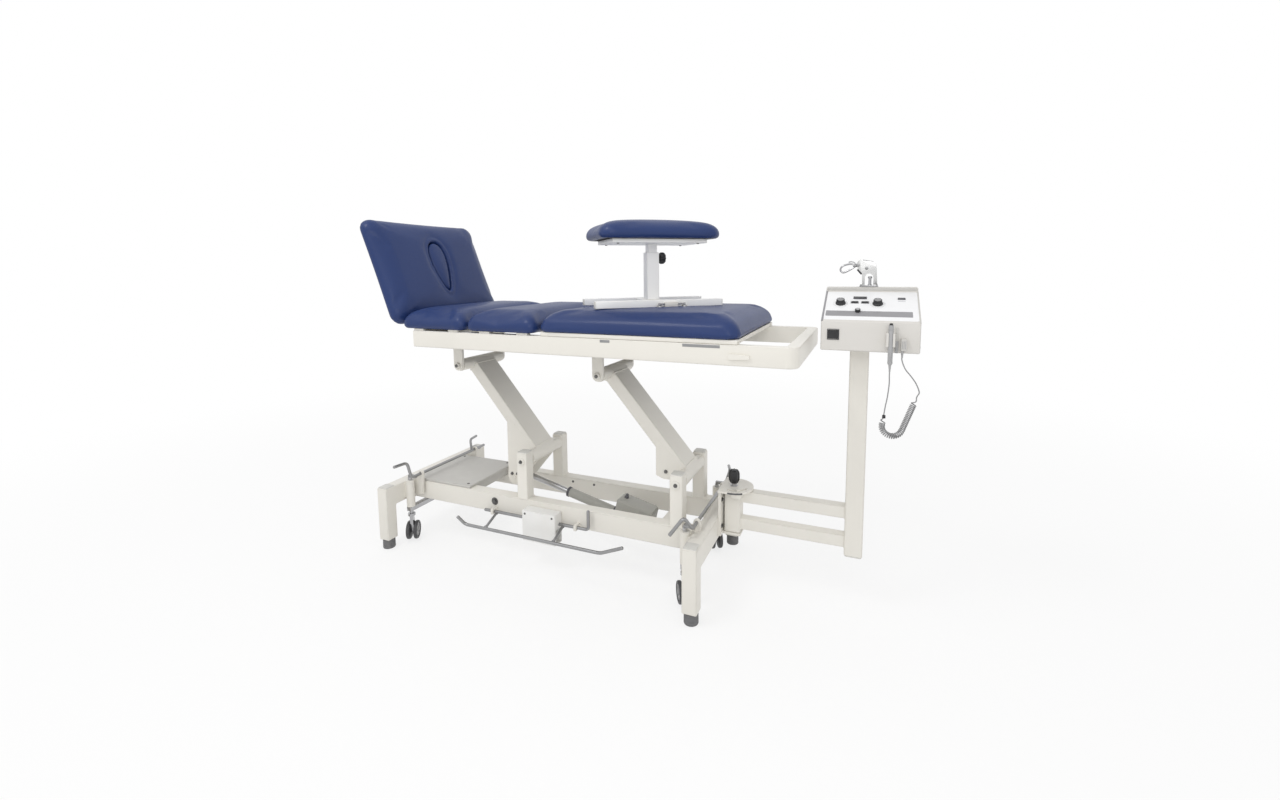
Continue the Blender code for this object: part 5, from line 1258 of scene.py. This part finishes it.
class TABLE_OT_welds(bpy.types.Operator):
    """Weld beads where tubes and plates meet"""

    bl_idname = "table.welds"
    bl_label = "Weld beads"

    def execute(self, context):
        bead = context.scene.table_form.bead
        across = rotated("Y", 90)
        level, foot = joint_at("table_level"), joint_at("lift")
        base, table = Form(), Form()
        for _, joint in ARMS:
            x = joint_at(joint).x
            for hand in HANDS:
                self.loop(base, at(x, hand * RAIL_Y, 0.2452), 0.0238, 0.0238, bead)
                self.loop(table, at(level.x + x - foot.x, hand * 0.131, level.z + 0.1012), 0.0212, 0.0062, bead * 0.8)
        for side in HANDS:
            x = middle("back_base_rail").x + side * 0.6199
            for hand in HANDS:
                self.loop(base, at(x, hand * RAIL_Y, RAIL_Z) @ across, 0.0370, 0.0248, bead)
        base.piece("base_weld_beads", "base")
        table.piece("table_weld_beads", "table")
        slope = level - foot
        lean = rotated("Y", math.degrees(math.atan2(slope.x, slope.z)))
        for side, joint in ARMS:
            arm = Form()
            for share, inset in ((0.0, 0.0222), (1.0, -0.0202)):
                centre = joint_at(joint) + slope * share + slope.normalized() * inset
                self.loop(arm, at(*centre) @ lean, 0.0252, 0.0602, bead)
            arm.piece(f"{side}_arm_weld_beads", f"{side}_arm")
        stand = Form()
        for z in (0.3297, 0.2313):
            for x in (POST_X - 0.0282, joint_at("stand_swivel").x + 0.0277):
                self.loop(stand, at(x, 0.0, z) @ across, 0.0200, 0.0200, bead)
        stand.piece("stand_weld_beads", "stand")
        stool = Form(on_stool(stool_floor()))
        self.loop(stool, at(0.0, 0.0, 0.0222), 0.0226, 0.0226, bead * 0.8)
        for hand in HANDS:
            for along in HANDS:
                path = [(along * 0.0304, hand * 0.0822, 0.006 + 0.0145 * i / 6) for i in range(7)]
                stool.sweep("ivory", path, bead * 0.7, 8, 0.2)
        stool.piece("stool_weld_beads", "stool")
        return {"FINISHED"}

    def loop(self, form, place, half_x, half_y, radius):
        """A rippled bead round a rectangle."""
        corners = [Vector((*corner, 0.0)) for corner in round_rect(half_x, half_y, 0.003, 3)]
        path = []
        for start, end in zip(corners, corners[1:] + corners[:1]):
            steps = max(1, round((end - start).length / 0.0028))
            path.extend(place @ start.lerp(end, k / steps) for k in range(steps))
        form.sweep("ivory", path, radius, 8, 0.16, True)


CONSOLE_LIP_Z = 0.963  # the sloped panel's front edge
CONSOLE_SLOPE = Vector((0.0, 0.175, 0.0825))  # from there to its back edge
DIAL_GRIP = [(0, 0.3), (14.5, 0.3), (15, 1), (15, 3.4), (14.4, 4.8), (12.8, 5.8), (12.6, 6.6), (12.2, 14),
             (11.4, 15.6), (0, 15.6)]
DIAL_CAP = [(0, 15.4), (10.4, 15.4), (10.2, 16.2), (9.4, 16.6), (0, 16.4)]
STUD_GRIP = [(0, 0.2), (7.6, 0.2), (8, 1.2), (7.7, 8.8), (7, 9.6), (0, 9.6)]
STUD_CAP = [(0, 9.4), (6, 9.4), (5.7, 10.3), (0, 10.5)]


class TABLE_OT_console(bpy.types.Operator):
    """Console face: printed panel, display, dials, keys' frames, strip, lamp, rocker frame and screws"""

    bl_idname = "table.console"
    bl_label = "Console face"

    def execute(self, context):
        self.face()
        self.trim()
        for side in ("left", "right"):
            self.dial(f"{side}_dial", f"{side}_dial_turn")
        return {"FINISHED"}

    def face(self):
        """What lies on the sloped panel, in the panel's own plane."""
        long = CONSOLE_SLOPE.length
        tilt = math.degrees(math.atan2(CONSOLE_SLOPE.z, CONSOLE_SLOPE.y))
        face = Form(at(POST_X, CONSOLE_FRONT, CONSOLE_LIP_Z) @ rotated("X", tilt))
        sheets = (  # finish, left, right, front, back, underside, top, corner
            ("print", -0.1030, 0.1575, 0.008, long - 0.007, 0.00005, 0.00022, 0.006),
            ("strip", -0.0992, 0.1418, 0.030, 0.062, 0.0002, 0.0005, 0.002),
            ("ink", -0.0238, 0.0154, 0.1375, 0.1530, 0.0002, 0.0018, 0.0015),
            ("glass", -0.0218, 0.0134, 0.1394, 0.1511, 0.0016, 0.0021, 0.0010),
            ("ink", 0.1032, 0.1244, 0.1370, 0.1470, 0.0002, 0.0022, 0.0012),
            ("strip", 0.1030, 0.1246, 0.1248, 0.1262, 0.0002, 0.0004, 0.0004),
        )
        for finish, left, right, front, back, low, high, corner in sheets:
            outline = round_rect((right - left) / 2, (back - front) / 2, corner)
            face.prism(finish, outline, low, high, min(0.0003, (high - low) / 3),
                       at((left + right) / 2, (front + back) / 2))
        for x in (-0.019, 0.011):  # round the two keys
            self.surround(face, "strip", at(x, 0.116), (0.0118, 0.0063), (0.0068, 0.0113), 0.0005,
                          (0.0002, 0.0009), 0.0002, 1)
        for x in (-0.060, 0.047):  # the dials' scales
            for i in range(11):
                end = 0.0218 if i % 5 else 0.0232
                face.block("ink", (0.0192, -0.0003, 0.0002), (end, 0.0003, 0.0004), 0.0, 1,
                           at(x, 0.108) @ rotated("Z", 225 - 27 * i))
        stud = at(-0.0082, 0.0585)
        face.lathe("black", STUD_GRIP, 72, stud, 18, 0.6, (2, 3))
        face.lathe("shaft", STUD_CAP, 32, stud)
        for finish, left, right in (("strip", -0.1092, -0.1034), ("shelf", 0.1580, 0.1622)):
            face.block(finish, (left, 0.0010, -0.0040), (right, long - 0.0010, 0.0010), 0.0007)
        face.piece("console_panel", "stand")

    def trim(self):
        """What lies on the housing's other faces."""
        low, high = CONSOLE_LOW, CONSOLE_HIGH
        back = CONSOLE_FRONT + 0.0001
        trim = Form()
        # grey band on the small upright step above the sloped panel: painted shade of that step face
        trim.block("shelf", (low.x + 0.004, 0.0542, 1.0464), (high.x - 0.004, 0.0560, 1.0566), 0.0006)
        self.surround(trim, "ink", at(POST_X - 0.0735, 0.0, 0.9225) @ rotated("X", 90), (0.0171, 0.0156),
                      (0.0163, 0.0163), 0.0008, (0.1198, 0.1214), 0.0005, 2)
        for hand, x in zip(HANDS, (low.x, high.x)):
            for y, z in ((-0.095, 0.890), (0.085, 0.890), (0.085, 1.035), (-0.085, 0.952)):
                trim.lathe("shaft", CONSOLE_SCREW, 24, upright((x, y, z), (hand, 0, 0)))
        x = POST_X + 0.1008  # the two-tone strip beside the hand switch
        trim.block("shelf", (x - 0.0040, -0.1228, low.z + 0.0006), (x + 0.0036, back, low.z + 0.0750), 0.0012)
        trim.block("grey", (x - 0.0043, -0.1240, low.z + 0.0004), (x + 0.0042, back, low.z + 0.0360), 0.0012)
        x, z = POST_X + 0.119, low.z + 0.0085  # the cord's ribbed socket
        trim.block("shelf", (x - 0.0078, -0.1358, z), (x + 0.0078, back, z + 0.0352), 0.0022, 3)
        for rib in (x - 0.0040, x, x + 0.0040):
            trim.block("grey", (rib - 0.0008, -0.1364, z + 0.006), (rib + 0.0008, -0.1350, z + 0.029), 0.0003, 1)
        for i in range(7):  # vents in the back, drawn as dark sheets: painted shade of the openings' insides
            x = POST_X + 0.027 + (i - 3) * 0.016
            trim.block("ink", (x - 0.0045, 0.1046, 0.955), (x + 0.0045, 0.1052, 1.005), 0.0002, 1)
        trim.piece("console_trim", "stand")

    def surround(self, form, finish, place, across, along, bar, heights, rounding, segments):
        """Four low bars round a key, each pair by its half length and its distance from the middle."""
        for spin, (half, off) in ((0, across), (90, along)):
            for hand in HANDS:
                y = hand * off
                form.block(finish, (-half, y - bar, heights[0]), (half, y + bar, heights[1]), rounding, segments,
                           place @ rotated("Z", spin))

    def dial(self, node, joint):
        """A skirted dial with a ribbed grip, a metal cap and a pointer."""
        knob = Form(upright(joint_at(joint), joint_axis(joint)))
        knob.lathe("black", DIAL_GRIP, 120, ORIGIN, 30, 0.8, (6, 7))
        knob.lathe("steel", DIAL_CAP, 48)
        uphill = knob.place.to_3x3().inverted() @ Vector((0.0, math.cos(0.44), math.sin(0.44)))
        pointer = rotated("Z", math.degrees(math.atan2(uphill.y, uphill.x)))
        knob.block("print", (0.0040, -0.0006, 0.0163), (0.0112, 0.0006, 0.0171), 0.0002, 1, pointer)
        knob.block("print", (0.0129, -0.0005, 0.0046), (0.0146, 0.0005, 0.0058), 0.0001, 1, pointer)
        knob.piece(f"{node}_knob", body_of(node), node)


BUTTON = [(0, -6), (4.5, -6), (4.5, 3), (4.1, 4.5), (3, 5.3), (0, 5.5)]


class TABLE_OT_hand_switch(bpy.types.Operator):
    """Hand switch with grip rings, and its button"""

    bl_idname = "table.hand_switch"
    bl_label = "Hand switch"

    def execute(self, context):
        low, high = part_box("hand_switch")
        centre = middle("hand_switch")
        tall = (high.z - low.z) / MM
        profile = [(0, 0), (4.6, 0), (5.3, 1.2), (6.9, 5)]
        for i in range(9):
            z = 9 + i * 3.2
            profile.extend([(6.9, z), (6.2, z + 0.6), (6.2, z + 1.4), (6.9, z + 2)])
        profile.extend([(6.9, 44), (6.9, tall - 18), (6.4, tall - 17.2), (6.4, tall - 16), (6.9, tall - 15.2),
                        (6.9, tall - 3), (6, tall), (4.9, tall), (4.9, tall - 8)])
        rim = [(4.9, tall - 0.2), (6.2, tall - 0.2), (6, tall + 0.4), (4.9, tall + 0.4)]
        switch = Form(at(centre.x, centre.y, low.z))
        switch.lathe("grey", profile, 40)
        switch.lathe("black", rim, 40)
        switch.piece("hand_switch_grip", "stand", "hand_switch")
        button = Form(at(centre.x, centre.y, high.z))
        button.lathe("black", BUTTON, 32)
        button.piece("hand_switch_push", "switch_button", "hand_switch_button")
        return {"FINISHED"}


STUD_COLLAR = [(0, 0.3), (14, 0.3), (14, 1.8), (9, 2.2), (8.8, 10), (0, 10)]
STAND_GRIP = [(0, -47), (12.5, -47), (15, -44), (19, -36), (20, -26), (19.6, -12), (17.5, -4), (13, -0.6), (7, 0),
              (0, 0)]
STOOL_GRIP = [(0, 22.8), (9, 22.8), (10, 26), (10.8, 29), (18.5, 31.2), (20.9, 35), (20.9, 44), (19, 49.5),
              (14, 52.2), (0, 52.5)]
SHEAVE = [(3, -12.5), (3, -7), (18, -7), (18, -5.2), (15, -2.4), (13.5, 0), (15, 2.4), (18, 5.2), (18, 7), (3, 7),
          (3, 12.5)]


class TABLE_OT_knobs(bpy.types.Operator):
    """Lobed clamp knobs and the rope's pulley"""

    bl_idname = "table.knobs"
    bl_label = "Knobs and pulley"

    def execute(self, context):
        low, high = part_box("stand_clamp_knob")
        pivot = joint_at("stand_knob_turn")
        knob = Form(at(*pivot))
        knob.lathe("shaft", rod(6, (low.z - pivot.z) / MM, 0.4), 24)
        knob.lathe("shaft", STUD_COLLAR, 40)
        knob.lathe("black", STAND_GRIP, 84, at(0.0, 0.0, high.z - pivot.z), 7, 3.4, range(2, 8))
        knob.piece("stand_star_knob", "stand_screw", "stand_clamp_knob")
        screw = Form(upright(joint_at("stool_knob_turn"), joint_axis("stool_knob_turn")))
        screw.lathe("shaft", rod(4, 16.8, 23.2), 20)
        screw.lathe("black", STOOL_GRIP, 96, ORIGIN, 8, 3.0, range(4, 9))
        screw.piece("stool_star_knob", "stool_screw", "stool_knob")
        pulley = Form(upright(joint_at("pulley_spin"), joint_axis("pulley_spin")))
        pulley.lathe("grey", SHEAVE, 48)
        pulley.piece("rope_sheave", "pulley", "rope_pulley")
        return {"FINISHED"}


CHEEK = [(-0.0125, 0.003), (-0.0050, 0.003), *arc((0.0080, 0.0305), 0.0130, 180, 0, 16), (0.0215, 0.003),
         (0.0335, 0.003), (0.0295, 0.062), (0.0275, 0.0720), (0.0215, 0.0815), (-0.014, 0.0878), (-0.020, 0.0875),
         (-0.0265, 0.083), (-0.031, 0.074), (-0.0262, 0.056), (-0.0125, 0.040)]
GUIDE_TUBE = [(0, 4), (6.2, 4), (6.2, 7.5), (4.5, 8.2), (4.3, 27), (6.4, 27.6), (6.4, 32.5), (5, 33.5), (0, 33.5)]
PIN_HEAD = [(0, 0), (5.2, 0), (5, 1.2), (3.2, 2), (0, 2.1)]
HOOK_NECK = [(0, 0), (4.2, 0), (4.7, 1.5), (4.7, 11), (4, 13), (0, 13)]
HOOK_EYE = [(2.9, -5.5), (5.4, -5.5), (6, -4.8), (6, 4.8), (5.4, 5.5), (2.9, 5.5)]
HOOK_LOOP = [(-0.010, -0.002), (-0.022, 0.004), (-0.046, -0.002), (-0.054, -0.014), (-0.046, -0.024),
             (-0.030, -0.018), (-0.009, -0.004)]
HOOK_LATCH = [(-0.007, 0.003), (-0.013, 0.009), (-0.021, 0.0115), (-0.029, 0.0100)]


class TABLE_OT_rope_head(bpy.types.Operator):
    """Rope head: two arched cheeks, guide tube, rubber stop and snap hook"""

    bl_idname = "table.rope_head"
    bl_label = "Rope head"

    def execute(self, context):
        axle, pin = joint_at("pulley_spin"), joint_at("hook_swing")
        yoke = Form(at(axle.x, axle.y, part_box("rope_head")[0].z))
        yoke.block("chrome", (-0.020, -0.018, 0.0), (0.036, 0.018, 0.005), 0.0012, 3)
        for low, high in ((0.0085, 0.0115), (-0.0115, -0.0085)):
            yoke.prism("bright", CHEEK, low, high, 0.0008, rotated("X", 90))
        yoke.block("bright", (0.0220, -0.0095, 0.003), (0.0250, 0.0095, 0.060), 0.0006)
        top_bar = at(0.0035, 0.0, 0.0838) @ rotated("Y", 10)
        yoke.block("steel", (-0.0170, -0.0122, -0.0012), (0.0170, 0.0122, 0.0012), 0.0010, 2, top_bar)
        stop = at(-0.0268, 0.0, 0.0572) @ rotated("Y", 49)
        yoke.block("black", (0.0, -0.0128, -0.0042), (0.0205, -0.0084, 0.0012), 0.0012, 2, stop)
        yoke.lathe("shaft", GUIDE_TUBE, 28, at(0.0108, 0.0))
        for x in (-0.0160, 0.0320):
            for y in (-0.0140, 0.0140):
                yoke.hexagon(at(x, y, 0.005), 4.5, 2.2)
        axle_height = Vector((0.0, 0.0, 0.060))
        hook_pin = pin - axle + axle_height
        for place in (axle_height, hook_pin):
            for hand in HANDS:
                yoke.lathe("steel", PIN_HEAD, 28, at(*place) @ outward(hand, 0.0, 0.0126, 0.0))
        yoke.lathe("shaft", rod(2.5, -11.5, 11.5), 20, upright(hook_pin, (0, 1, 0)))
        yoke.piece("rope_head_yoke", "stand", "rope_head")
        hook = Form(at(*pin))
        hook.sweep("chrome", smooth_path([(x, 0.0, z) for x, z in HOOK_LOOP], 9), 0.0029, 16)
        hook.lathe("steel", HOOK_NECK, 28, upright((-0.0030, 0.0, -0.0010), (-0.0130, 0.0, -0.0020)))
        hook.lathe("chrome", HOOK_EYE, 32, upright((0.0, 0.0, 0.0), (0, 1, 0)))
        hook.sweep("chrome", smooth_path([(x, 0.0, z) for x, z in HOOK_LATCH], 6), 0.0019, 12)
        hook.piece("rope_snap_hook", "hook", "rope_hook")
        return {"FINISHED"}


DRIVE_RING = [(18.1, 0), (20, 1), (20, 9), (18.1, 10)]
DRIVE_GLAND = [(0, 0), (8.5, 0), (8, 6), (6.2, 8), (5, 16), (0, 16)]


class TABLE_OT_drive(bpy.types.Operator):
    """Ribs, end rings and gland of the lift drive"""

    bl_idname = "table.drive"
    bl_label = "Lift drive"

    def execute(self, context):
        along = joint_axis("actuator_stroke")
        trim = Form(at(*joint_at("actuator_swing")) @ rotated("Y", math.degrees(math.atan2(-along.z, along.x))))
        for x in (0.184, 0.392):
            trim.lathe("ink", DRIVE_RING, 36, at(x, 0.0) @ rotated("Y", 90))
        for i in range(6):
            x = 0.052 + i * 0.018
            trim.block("drive", (x, -0.0382, -0.066), (x + 0.007, 0.0382, 0.016), 0.0007)
        trim.lathe("ink", DRIVE_GLAND, 28, at(0.155, 0.0, -0.0735) @ rotated("X", 180))
        trim.piece("drive_trim", "actuator")
        return {"FINISHED"}


GLIDE = [(0, 0.4), (8, 0.4), (9.6, 2), (9.2, 5.2), (6, 7.6), (4, 8.2), (4, 14), (3, 15), (0, 15)]


class TABLE_OT_stool_fittings(bpy.types.Operator):
    """Bracket and chrome glides on the stool's near bar, and its plate's screws"""

    bl_idname = "table.stool_fittings"
    bl_label = "Stool fittings"

    def execute(self, context):
        form = Form(on_stool(stool_floor()))
        face = -0.1075  # outer face of the near bar
        form.block("ivory", (0.010, face - 0.013, 0.0015), (0.058, face - 0.0002, 0.0185), 0.002)
        y, arm_z = face - 0.0098, 0.0118
        for x in (-0.010, 0.082):
            form.lathe("chrome", GLIDE, 36, at(x, y))
            form.sweep("chrome", [(x, y, arm_z), (0.034, y, arm_z)], 0.0026, 12, cap=False)
        form.piece("stool_glides", "stool")
        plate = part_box("stool_cushion")[0].z - 0.015
        screws = Form(on_stool(plate) @ rotated("X", 180))
        for x in (-0.145, 0.145):
            for y in (-0.085, 0.085):
                screws.lathe("bolt", SCREW, 24, at(x, y))
        screws.piece("stool_plate_screws", "stool_seat")
        return {"FINISHED"}


OPERATORS = (TABLE_OT_stage, TABLE_OT_cord, TABLE_OT_cushions, TABLE_OT_frames, TABLE_OT_feet, TABLE_OT_casters,
             TABLE_OT_pedals, TABLE_OT_fasteners, TABLE_OT_welds, TABLE_OT_console, TABLE_OT_hand_switch,
             TABLE_OT_knobs, TABLE_OT_rope_head, TABLE_OT_drive, TABLE_OT_stool_fittings)


class TABLE_PT_sidebar(bpy.types.Panel):
    """Lists the table's operators and settings"""

    bl_idname = "TABLE_PT_sidebar"
    bl_label = "Decompression table"
    bl_space_type = "VIEW_3D"
    bl_region_type = "UI"
    bl_category = "Table"

    def draw(self, context):
        for operator in OPERATORS:
            self.layout.operator(operator.bl_idname)
        for group in (context.scene.table_finish, context.scene.table_form, context.scene.table_stage):
            for key in group.bl_rna.properties.keys():
                if key not in ("rna_type", "name"):
                    self.layout.prop(group, key)


CLASSES = (TableFinish, TableForm, TableStage, *OPERATORS, TABLE_PT_sidebar)
SETTINGS = {"table_finish": TableFinish, "table_form": TableForm, "table_stage": TableStage}


def register():
    """Make the settings, operators and panel known to Blender."""
    for item in CLASSES:
        bpy.utils.register_class(item)
    for name, group in SETTINGS.items():
        setattr(bpy.types.Scene, name, PointerProperty(type=group))


def unregister():
    """Take them away again."""
    for name in SETTINGS:
        delattr(bpy.types.Scene, name)
    for item in reversed(CLASSES):
        bpy.utils.unregister_class(item)


def main():
    """Build the dressed table."""
    register()
    MATERIALS.update(make_materials(bpy.context.scene.table_finish))
    for operator in OPERATORS:
        group, name = operator.bl_idname.split(".")
        getattr(getattr(bpy.ops, group), name)()


if __name__ == "__main__":
    main()
